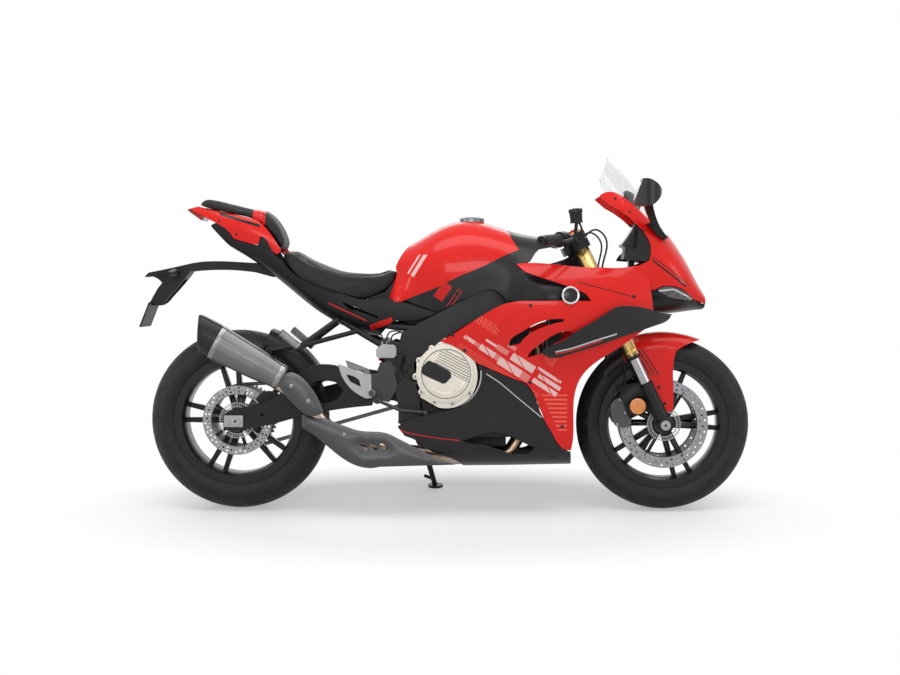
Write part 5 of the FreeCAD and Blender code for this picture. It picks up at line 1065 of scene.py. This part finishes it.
# The bodywork is injection-moulded plastic, painted a deep gloss red inside and out of the mould
# line, with satin black panels bolted to it. The stripes are decals under the clear coat.
RED = (0.68, 0.011, 0.008)
PALE = (0.80, 0.50, 0.48)
LIGHT_RED = (0.80, 0.12, 0.08)
INK = (0.012, 0.008, 0.008)
DARK_RED = (0.5, 0.012, 0.01)
SILVER = (0.5, 0.5, 0.51)
FILLER_X = 812
COVER_MIDDLE = (727, 480)


def smooth_z(signal, knots):
    """A height read at x between knots of (x, z): a sum of clamped straight ramps."""
    height = knots[0][1]
    for (x0, z0), (x1, z1) in zip(knots, knots[1:]):
        height = signal.x.ramp(x0, x1, 0.0, z1 - z0) + height
    return height


def paint(name):
    """Gloss paint: a slow change of tone, a very slight orange peel, and a clear coat over it."""
    finish = Finish(name, Coat_Weight=0.3, Coat_Roughness=0.04, Coat_IOR=1.45, Specular_IOR_Level=0.15)
    tone = finish.noise(180, 3)
    finish.red = finish.tones(tone, RED, 0.92, 1.08)
    finish.set("Base Color", finish.red)
    finish.set("Roughness", tone.ramp(0.2, 0.8, 0.3, 0.36))
    finish.bump(finish.noise(3.5, 2), 0.012)
    return finish


def strokes(finish, angle):
    """Distances along and over strokes that climb at an angle in the side view."""
    turn = math.radians(angle)
    along = finish.x * math.cos(turn) + finish.z * math.sin(turn)
    over = finish.z * math.cos(turn) - finish.x * math.sin(turn)
    return along, over


def any_of(masks):
    """1 where one of the masks is 1."""
    total = masks[0]
    for mask in masks[1:]:
        total = total.most(mask)
    return total


fairing = paint("fairing red")
u, v = strokes(fairing, -33)
back, _ = strokes(fairing, 28)
pale = any_of([u.within(u0, u1) * v.within(v0, v1) for u0, u1, v0, v1 in (
    (392, 452, 930, 950), (470, 560, 922, 948), (500, 590, 958, 984), (604, 700, 934, 950),
    (612, 700, 958, 972), (596, 690, 980, 990), (330, 372, 934, 946), (398, 440, 966, 974))])
pale = pale * (back % 41 > 3)
rose = any_of([u.within(u0, u1) * v.within(v0, v1) for u0, u1, v0, v1 in (
    (452, 470, 930, 950), (560, 592, 922, 948), (440, 486, 962, 980), (372, 390, 934, 946),
    (470, 500, 990, 1004))])
fine = (v % 7 < 2.0) * v.within(884, 916) * u.within(330, 650)
rungs = (back % 9 < 3.4) * back.within(1010, 1095) * v.within(1000, 1030) * u.within(330, 420)
hatch = (u % 8 < 2.4) * u.within(560, 640) * v.within(1012, 1062) * fairing.x.within(1060, 1250)
stack = (fairing.z % 15 < 6) * fairing.z.within(286, 410) * fairing.x.within(1040, 1136)
stack = stack * (fairing.x + fairing.z * 0.45 > 1235)
upper = smooth_z(fairing, ((1170, 790), (1368, 738)))
edge_line = ((fairing.z - upper).size() < 1.6) * fairing.x.within(1170, 1368)
colour = fairing.mix(any_of([fine, stack, rungs, hatch]), fairing.red, LIGHT_RED)
colour = fairing.mix(rose, colour, (0.72, 0.20, 0.18))
colour = fairing.mix(pale, colour, PALE)
colour = fairing.mix(edge_line, colour, INK)
fairing.set("Base Color", colour)
for node in ("side_fairing_right", "side_fairing_left"):
    smoothed(node, fairing, 28, 0.8)

tank = paint("tank red")
u, v = strokes(tank, 58)
bars = v.within(-92, -80).most(v.within(-72, -66)) * u.within(1010, 1106)
bars = bars * tank.z.within(792, 884) * tank.y.size().ramp(60, 61)
colour = tank.mix(bars, tank.red, PALE)
cap = (length(tank.x - FILLER_X, tank.y) < 42.5) * (tank.z > 1000)
tank.set("Base Color", tank.mix(cap, colour, (0.10, 0.10, 0.105)))
tank.set("Metallic", cap.ramp(0, 1))
smoothed("fuel_tank", tank, 28, 0.8)

nose = paint("nose red")
u, v = strokes(nose, -37)
tape = v.within(1545, 1551).most(v.within(1557, 1560)) * nose.x.within(1424, 1557)
nose.set("Base Color", nose.mix(tape * nose.z.within(775, 875), nose.red, INK))
smoothed("front_cowl", nose, 28, 0.8)

tail = paint("tail red")
ridge = smooth_z(tail, ((-110, 1044), (84, 985)))
tape = (tail.z - ridge).within(-7, 3) * tail.x.within(-60, 84)
tail.set("Base Color", tail.mix(tape, tail.red, INK))
smoothed("tail_fairing", tail, 28, 0.8)

fender = paint("fender red")
flap = (fender.x + (fender.z - 500) * 0.3 < 1345) * (fender.z < 575)
u, v = strokes(fender, -57)
tape = (v % 12 < 4) * v.within(1440, 1486) * fender.z.within(470, 560) * (fender.y.size() > 20)
u, v = strokes(fender, 25)
# The vent is no opening in the fender: a dark slot of painted shade stands in for it.
vent_painted_shade = ((v - 40).size() < 3.5) * fender.x.within(1372, 1416) * (fender.y.size() > 40)
fender.set("Base Color", fender.mix(any_of([flap, tape, vent_painted_shade]), fender.red, INK))
fender.set("Coat Weight", (1 - flap) * 0.3)
smoothed("front_fender", fender, 28, 0.8)

trim = satin("satin trim", (0.009, 0.009, 0.01), 0.34, 0.04, 0.15)
for node in ("tank_front_cover", "dashboard", "mirrors", "headlight_surround"):
    smoothed(node, trim, 28, 0.8)

cover = satin("side cover black", (0.009, 0.009, 0.01), 0.36, 0.04, 0.15)
u, v = strokes(cover, 55)
mark = u.within(1000, 1062) * v.within(-168, -132)
lines = (v % 12 < 3.4) * v.within(-206, -180) * u.within(996, 1070)
black = cover.mix(cover.noise(60, 3), (0.008, 0.008, 0.009), (0.012, 0.012, 0.013))
cover.set("Base Color", cover.mix(mark.most(lines) * (cover.y.size() > 90), black, DARK_RED))
smoothed("tank_side_covers", cover, 28, 0.8)

# The dark lower panels: the air deflectors on the flanks and the belly pan, moulded in satin black,
# with thin bright lines along their edges and a silver arc round the engine cover.
panel = satin("deflector black", (0.009, 0.009, 0.01), 0.34, 0.03, 0.3)
low_edge = smooth_z(panel, ((1094, 554), (1145, 565), (1246, 598), (1314, 618)))
over = panel.z - low_edge
silver = over.within(0, 5) * panel.x.within(1094, 1300)
thin_red = over.within(-7, -2) * panel.x.within(1094, 1250)
black = panel.mix(panel.noise(60, 3), (0.008, 0.008, 0.009), (0.013, 0.013, 0.014))
panel.set("Base Color", panel.mix(thin_red, panel.mix(silver, black, SILVER), DARK_RED))
smoothed("air_deflectors", panel, 28, 0.8)

belly = satin("belly black", (0.011, 0.011, 0.012), 0.34, 0.03, 0.25)
top_edge = smooth_z(belly, ((858, 483.6), (909, 450), (976, 392.5), (1054, 328)))
silver = ((belly.z - top_edge).size() < 2.2) * belly.x.within(862, 1050)
low_line = smooth_z(belly, ((554.5, 294.6), (588, 278), (639, 267.6), (706, 257.5), (774, 250.7)))
thin_red = ((belly.z - low_line).size() < 2) * belly.x.within(556, 772)
reach = length(belly.x - COVER_MIDDLE[0], belly.z - COVER_MIDDLE[1])
arc = ((reach - 118).size() < 2.2) * belly.x.within(771, 850) * belly.z.within(372, 492)
black = belly.mix(belly.noise(60, 3), (0.009, 0.009, 0.01), (0.014, 0.014, 0.015))
black = belly.mix(silver.most(arc) * (belly.y.size() > 120), black, SILVER)
belly.set("Base Color", belly.mix(thin_red * (belly.y.size() > 90), black, DARK_RED))
smoothed("belly_pan", belly, 28, 0.8)

trims = satin("seat trim black", (0.008, 0.008, 0.009), 0.44, 0.08)
u, v = strokes(trims, 20.5)
wedge = v.within(420, 440) * u.within(655, 738)
u, v = strokes(trims, -25)
wedge = wedge.most(v.within(784.5, 789) * trims.x.within(322, 452)) * (trims.y.size() > 70)
black = trims.mix(trims.noise(60, 3), (0.007, 0.007, 0.008), (0.011, 0.011, 0.012))
trims.set("Base Color", trims.mix(wedge, black, (0.6, 0.012, 0.01)))
smoothed("seat_trims", trims, 28, 0.8)


# Fasteners and badges of the bodywork: small black button bolts along the panels' edges, and a
# plain ringed cap on the point of each side cover.
BADGE_OUT = 29.0
for side, word in SIDES:
    fixings("fairing_bolts_" + word, "side_fairing_" + word, [
        (750, 612), (790, 560), (1010, 452), (1120, 300), (1360, 742), (1010, 712)], 6, sides=(side,))
for name, node, spots, radius, body in (
        ("belly_bolts", "belly_pan", [(640, 320), (700, 300), (905, 215), (1090, 190), (1000, 260)], 6,
         "chassis"),
        ("cover_bolts", "tank_side_covers", [(760, 752), (1010, 796)], 5, "chassis"),
        ("fender_bolts", "front_fender", [(1458, 428), (1478, 372)], 5.5, "steering"),
        ("deflector_bolts", "air_deflectors", [(1080, 556), (1440, 672)], 4.5, "chassis"),
        ("screen_bolts", "front_cowl", [(1300, 1075), (1350, 1030), (1396, 966)], 4.5, "chassis"),
        ("tail_bolts", "tail_fairing", [(0, 956), (-60, 1002)], 4.5, "chassis")):
    fixings(name, node, spots, radius, bolt_black, body)
cover_tree = surface_of(cad["tank_side_covers"])
badges = []
for side in (-1, 1):
    place, _ = from_side(cover_tree, 1144, 746, side)
    badges.append((place + (0, side * BADGE_OUT, 0), (0.12, side, 0.08)))
turned("badge_rings", [(23, 1.5), (24, 3.6), (26, 4.4), (28.5, 4.2), (30, 3), (30.4, 0), (30, -4), (23, -4)],
       badges, metal("badge silver", (0.55, 0.55, 0.56), 0.22), steps=48)
turned("badge_caps", [(0.01, 3.4), (10, 3.2), (18, 2.7), (23.4, 1.9), (23.4, -3.5), (29.2, -4), (27.5, -36),
                      (0.01, -36)], badges, gloss_black, "chassis", 48)

# The filler cap on the tank's top: an aircraft-style lid of turned metal, with a raised lock
# cover in its middle and a ring held down by six small bolts.
LID_BOLTS = 6
LID_BOLT_CIRCLE = 35
turned("filler_lid", [(0.01, 9.0), (10, 9.0), (11, 8.2), (27, 7.4), (28, 6.2), (30, 6.0), (40, 5.0),
                      (42.6, 3), (42.8, -8), (0.01, -8)], [((FILLER_X, 0, 1008), (0, 0, 1))],
       metal("filler lid", (0.2, 0.2, 0.205), 0.34), steps=48)
turned("filler_bolts", button(2.6), [
    ((FILLER_X + LID_BOLT_CIRCLE * math.cos(t), LID_BOLT_CIRCLE * math.sin(t), 1013.2), (0, 0, 1))
    for t in np.arange(LID_BOLTS) * 2 * math.pi / LID_BOLTS], bolt_steel, steps=12)

# The cockpit: a dark display in a silver frame on the dash, and flat silvered glass in both
# mirrors. Each is a thin plate that lies on its housing.
DASH_MIDDLE = (1352, 0, 954)
dash_tree = surface_of(cad["dashboard"])
dash_up = unit((50, 0, 78))
dash_look = unit((78, 0, -50))
patch("display_frame", dash_tree, DASH_MIDDLE, dash_up, 80, 41, dash_look, 1.2,
      metal("display frame", (0.5, 0.5, 0.51), 0.3), 7)
display = Finish("display glass", Roughness=0.08, Coat_Weight=1.0, Coat_Roughness=0.02)
ticks = ((display.y * 0.55).sine() > 0.2) * display.z.within(974, 982) * (display.y.size() < 62)
blocks = display.z.within(934, 956) * (((display.y.size() - 34).size() < 16) + (display.y.size() < 8))
display.set("Base Color", display.mix(ticks.most(blocks * 0.5), (0.006, 0.007, 0.009), (0.35, 0.42, 0.5)))
patch("display_glass", dash_tree, DASH_MIDDLE, dash_up, 74, 35, dash_look, 2.2, display, 7)
glass = Finish("mirror glass", Metallic=1.0)
glass.set("Base Color", glass.mix(glass.noise(120, 2), (0.62, 0.65, 0.68), (0.68, 0.71, 0.74)))
glass.set("Roughness", glass.noise(60, 2).ramp(0.3, 0.7, 0.03, 0.06))
mirror_tree = surface_of(cad["mirrors"])
mirror_up = unit((30, 0, 81))
mirror_look = unit((81, 0, -30))
for side, word in SIDES:
    patch(word + "_mirror_glass", mirror_tree, (1360, side * 334, 1089), mirror_up, 40, 34, mirror_look, 0.8,
          glass, 3.2)

# The wheel-speed rings beside the discs are punched from thin steel and slotted all the way round.
# The chain's pins are riveted through its plates, one for each pitch of the loop.
RING_SLOTS = 44
RING_THICK = 1.5
RIM_WIDE = 3
BAR_HALF = 1.3
RIM_STEPS = 96
ring_steel = metal("speed ring steel", (0.3, 0.3, 0.31), 0.36)


def speed_ring(name, hub_at, y, outer, inner, body):
    """Two thin rims and a bar beside each slot between them, all as thick, as one piece."""
    ends = (y, y + math.copysign(RING_THICK, y))
    spots = []
    faces = []
    for low, high in ((outer - RIM_WIDE, outer), (inner, inner + RIM_WIDE)):
        faces += (sheet_faces(RIM_STEPS, 4, True, True) + 4 * RIM_STEPS * len(spots)).tolist()
        rim = round_the_axle((low, high, high, low), np.repeat(ends, 2), RIM_STEPS, hub_at)
        spots.append(rim.reshape(-1, 3))
    low, high = inner + RIM_WIDE - 1, outer - RIM_WIDE + 1
    across_bar = ((low, -BAR_HALF), (low, BAR_HALF), (high, BAR_HALF), (high, -BAR_HALF))
    corner = np.array([(out, end, along) for end in ends for out, along in across_bar])
    for number in range(RING_SLOTS):
        turn = 2 * math.pi * number / RING_SLOTS
        x = corner[:, 0] * math.cos(turn) - corner[:, 2] * math.sin(turn)
        z = corner[:, 0] * math.sin(turn) + corner[:, 2] * math.cos(turn)
        spots.append(np.stack([x, corner[:, 1], z], -1) + hub_at)
        faces += prism_faces(4, 2 * 4 * RIM_STEPS + 8 * number)
    fitted(solid(name, np.concatenate(spots), faces, ring_steel, 30), body)


speed_ring("rear_speed_ring", REAR_HUB, -89.4, 62, 46, "rear_wheel")
speed_ring("front_speed_ring", FRONT_HUB, -69.4, 58, 42, "front_wheel")

PITCH = 15.875
REAR_TEETH = 45
FRONT_TEETH = 16
CHAIN_RUN = np.array((684.0, 118.0))
CHAIN_Y = 90.2
rear_r, front_r = (PITCH / 2 / math.sin(math.pi / teeth) for teeth in (REAR_TEETH, FRONT_TEETH))
reach = float(np.linalg.norm(CHAIN_RUN))
tilt = math.atan2(CHAIN_RUN[1], CHAIN_RUN[0])
open_up = math.acos((rear_r - front_r) / reach)
run = reach * math.sin(open_up)
lengths = np.cumsum([run, front_r * 2 * open_up, run, rear_r * (2 * math.pi - 2 * open_up)])
links = 2 * round(lengths[-1] / PITCH / 2)


def ray(angle):
    """The unit direction (cos, sin) at this angle in the side view."""
    return np.array((math.cos(angle), math.sin(angle)))


pins = []
for number in range(links):
    s = (number + 0.5) * lengths[-1] / links
    if s < lengths[0]:
        spot = rear_r * ray(tilt + open_up) + s * ray(tilt + open_up - math.pi / 2)
    elif s < lengths[1]:
        spot = CHAIN_RUN + front_r * ray(tilt + open_up - (s - lengths[0]) / front_r)
    elif s < lengths[2]:
        foot = front_r * ray(tilt - open_up)
        spot = CHAIN_RUN + foot + (s - lengths[1]) * ray(tilt - open_up - math.pi / 2)
    else:
        spot = rear_r * ray(tilt - open_up - (s - lengths[2]) / rear_r)
    pins.append(((spot[0], CHAIN_Y, AXLE_HEIGHT + spot[1]), (0, 1, 0)))
turned("chain_pins", [(0.01, 17.6), (2.0, 17.6), (2.6, 17.0), (2.6, 0.6), (2.0, 0), (0.01, 0)], pins,
       bolt_steel, "chassis", 10)


# The seats: foam pads under a tight black vinyl cover. Each pad is blown up by cloth pressure from
# its own solid, and its cover is sewn along two seams, with the stitches lying on the vinyl.
PAD_CELL = 0.005
PAD_SMOOTHINGS = 14
CLOTH_STEPS = 20
CUT_HEIGHT = 1300
SEAM_INSET = 4


def move(mesh, points):
    """Puts a mesh's vertices at these places in the frame."""
    mesh.vertices.foreach_set("co", points.ravel())
    mesh.update()


def outwards(mesh):
    """The direction out at each of a mesh's vertices, turned upright."""
    return leaned(read(mesh, "normal"), -LEAN)


def take_in(piece):
    """Makes a piece's modifiers part of its mesh."""
    piece.data = evaluated(piece)
    piece.modifiers.clear()


def swelled(piece, start, limit):
    """A piece's points under cloth pressure, none of them further from its start than its limit."""
    cloth = piece.modifiers.new("cover", "CLOTH")
    for key, value in {"quality": 5, "mass": 0.4, "tension_stiffness": 25, "compression_stiffness": 25,
                       "bending_stiffness": 2, "use_pressure": True, "uniform_pressure_force": 4}.items():
        setattr(cloth.settings, key, value)
    cloth.settings.effector_weights.gravity = 0
    cloth.point_cache.frame_start = 1
    cloth.point_cache.frame_end = CLOTH_STEPS
    for step in range(1, CLOTH_STEPS + 1):
        bpy.context.scene.frame_set(step)
    moved = read(evaluated(piece)) - start
    piece.modifiers.clear()
    far = np.linalg.norm(moved, axis=1)[:, None]
    return start + moved * np.minimum(1, limit / np.maximum(far, 1e-9))


def pad(name, node, crown, half, swell, finish):
    """A seat pad from a node's solid: remeshed, crowned across, rounded, and swelled by cloth pressure.

    Its top falls by crown times the fourth power of its share of the half width, and no point
    moves further than swell under the pressure."""
    piece = cad_copy(name, node)
    cells = piece.modifiers.new("cells", "REMESH")
    cells.mode = "VOXEL"
    cells.voxel_size = PAD_CELL
    rounding = piece.modifiers.new("rounding", "SMOOTH")
    rounding.factor = 0.5
    rounding.iterations = PAD_SMOOTHINGS
    take_in(piece)
    spots = upright(read(piece.data))
    up = np.clip(outwards(piece.data)[:, 2], 0, 1)
    spots[:, 2] -= crown * np.clip(np.abs(spots[:, 1]) / half, 0, 1) ** 4 * up
    start = parked(spots)
    move(piece.data, start)
    move(piece.data, swelled(piece, start, swell / 1000 * (0.25 + 0.75 * up[:, None])))
    bpy.context.scene.frame_set(1)
    smoother = piece.modifiers.new("finer", "SUBSURF")
    smoother.levels = 1
    smoother.render_levels = 1
    take_in(piece)
    piece.data.shade_smooth()
    piece.data.materials.clear()
    piece.data.materials.append(finish.material)
    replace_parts(piece, node)
    fitted(piece, "chassis")
    return piece


def sew(piece, seam, depth, wide):
    """Draws a pad's surface in along a seam: depth times a bell over the distance from |y| = seam(x)."""
    spots = upright(read(piece.data))
    gap = (np.abs(spots[:, 1]) - seam(spots[:, 0])) / wide
    outward = outwards(piece.data)
    up = np.clip(outward[:, 2] * 1.5, 0, 1)
    move(piece.data, parked(spots - outward * (depth * np.exp(-gap ** 2) * up)[:, None]))


def stitches(name, piece, seam, start, end, pitch, finish):
    """A row of thread loops on each side of a pad, lying on the surface beside its seam."""
    tree = surface_of(piece)
    spots = []
    faces = []
    ring = ((-0.5, 0.55), (0.5, 0.55), (0.5, -0.2), (-0.5, -0.2))
    for side in (-1, 1):
        for x in np.arange(start, end, pitch):
            (foot, out), (head, _) = [
                met(tree, (at, side * (float(seam(at)) - SEAM_INSET), CUT_HEIGHT), (0, 0, -1))
                for at in (x, x + pitch * 0.62)]
            over = np.cross(out, unit(head - foot))
            first = len(spots)
            for share, lift in ((0.0, -0.5), (0.25, 0.35), (0.75, 0.35), (1.0, -0.5)):
                middle = foot + (head - foot) * share + out * lift
                spots += [middle + over * a + out * b for a, b in ring]
            for low in range(first, first + 12, 4):
                faces += [[low + n, low + (n + 1) % 4, low + 4 + (n + 1) % 4, low + 4 + n] for n in range(4)]
            faces.append([first, first + 1, first + 2, first + 3])
            faces.append([first + 15, first + 14, first + 13, first + 12])
    fitted(solid(name, spots, faces, finish, 60), "chassis")


vinyl = Finish("seat vinyl", Specular_IOR_Level=0.3)
grain = vinyl.node("ShaderNodeTexVoronoi", {"feature": "DISTANCE_TO_EDGE"},
                   {"Vector": vinyl.place, "Scale": 0.7}, "Distance")
worn = vinyl.noise(70, 3)
vinyl.set("Base Color", vinyl.mix(worn, (0.006, 0.006, 0.006), (0.011, 0.011, 0.011)))
vinyl.set("Roughness", worn.ramp(0.2, 0.8, 0.42, 0.54))
vinyl.bump(grain.ramp(0, 0.12) * 0.7 + vinyl.noise(0.5, 2) * 0.3, 0.18)
thread = satin("seat thread", (0.02, 0.02, 0.02), 0.6, 0.1)


def rider_seam(x):
    """Half the width of the rider seat's top panel at x."""
    return np.interp(x, (180, 270, 360, 450, 530), (72, 98, 98, 62, 42))


def pillion_seam(x):
    """Half the width of the pillion pad's top panel at x."""
    return np.interp(x, (-120, -60, 60, 160), (30, 58, 72, 68))


rider_pad = pad("rider_pad", "rider_seat", 16, 140, 5, vinyl)
sew(rider_pad, rider_seam, 2.2, 4.5)
stitches("rider_stitches", rider_pad, rider_seam, 190, 520, 7, thread)
pillion_pad = pad("pillion_pad", "pillion_seat", 12, 96, 4, vinyl)
sew(pillion_pad, pillion_seam, 2.0, 4.0)
stitches("pillion_stitches", pillion_pad, pillion_seam, -112, 40, 7, thread)

# A hoop painted like the tail lies tight over the pillion pad, so the pad's rear half reads as a
# separate cushion.
HOOP_REAR = 56
HOOP_FRONT = 100
HOOP_MIDDLE = (HOOP_REAR + HOOP_FRONT) / 2
HOOP_HALF = (HOOP_FRONT - HOOP_REAR) / 2
HOOP_SWING = 104
hoop_tree = surface_of(pillion_pad)
rows = []
for x in np.linspace(HOOP_REAR, HOOP_FRONT, 7):
    centre = np.array((x, 0.0, np.interp(x, (HOOP_REAR, HOOP_FRONT), (1012, 984))))
    proud = 0.6 + 1.6 * (1 - ((x - HOOP_MIDDLE) / HOOP_HALF) ** 4)
    row = []
    for turn in np.radians(np.linspace(-HOOP_SWING, HOOP_SWING, 41)):
        out = np.array((0.0, math.sin(turn), math.cos(turn)))
        place, normal = met(hoop_tree, centre + out * 200, -out)
        row.append(place + normal * proud)
    rows.append(row)
sheet("pillion_hoop", rows, paint("hoop red"), 60, 2, -0.6)


# The screen and lamps: a clear polycarbonate screen, dark lenses under the nose with a bright strip
# along each, and a dark red tail lens.
screen = Finish("clear screen", Base_Color=(0.9, 0.91, 0.92), Roughness=0.02, Transmission_Weight=1.0,
                IOR=1.3)
smoothed("windscreen", screen)
lens = Finish("lamp lens", Coat_Weight=1.0, Coat_Roughness=0.02, Roughness=0.2, Specular_IOR_Level=0.6)
facets = (lens.y * 0.42).sine().ramp(-0.2, 0.2) * (lens.z > 740)
strip = (lens.z - smooth_z(lens, ((1443, 759), (1500, 766), (1563, 736)))).size() < 2.4
dark = lens.mix(facets, (0.012, 0.012, 0.014), (0.05, 0.05, 0.055))
lens.set("Base Color", lens.mix(strip, dark, (0.7, 0.72, 0.75)))
smoothed("headlights", lens)
tail_red = Finish("tail lens", Roughness=0.22, Coat_Weight=0.35, Coat_Roughness=0.08, Specular_IOR_Level=0.3)
ridges = (tail_red.y * 0.9).sine().ramp(-0.4, 0.4)
tail_red.set("Base Color", tail_red.mix(ridges, (0.16, 0.003, 0.003), (0.28, 0.008, 0.006)))
tail_red.bump(ridges, 0.3)
smoothed("tail_light", tail_red)
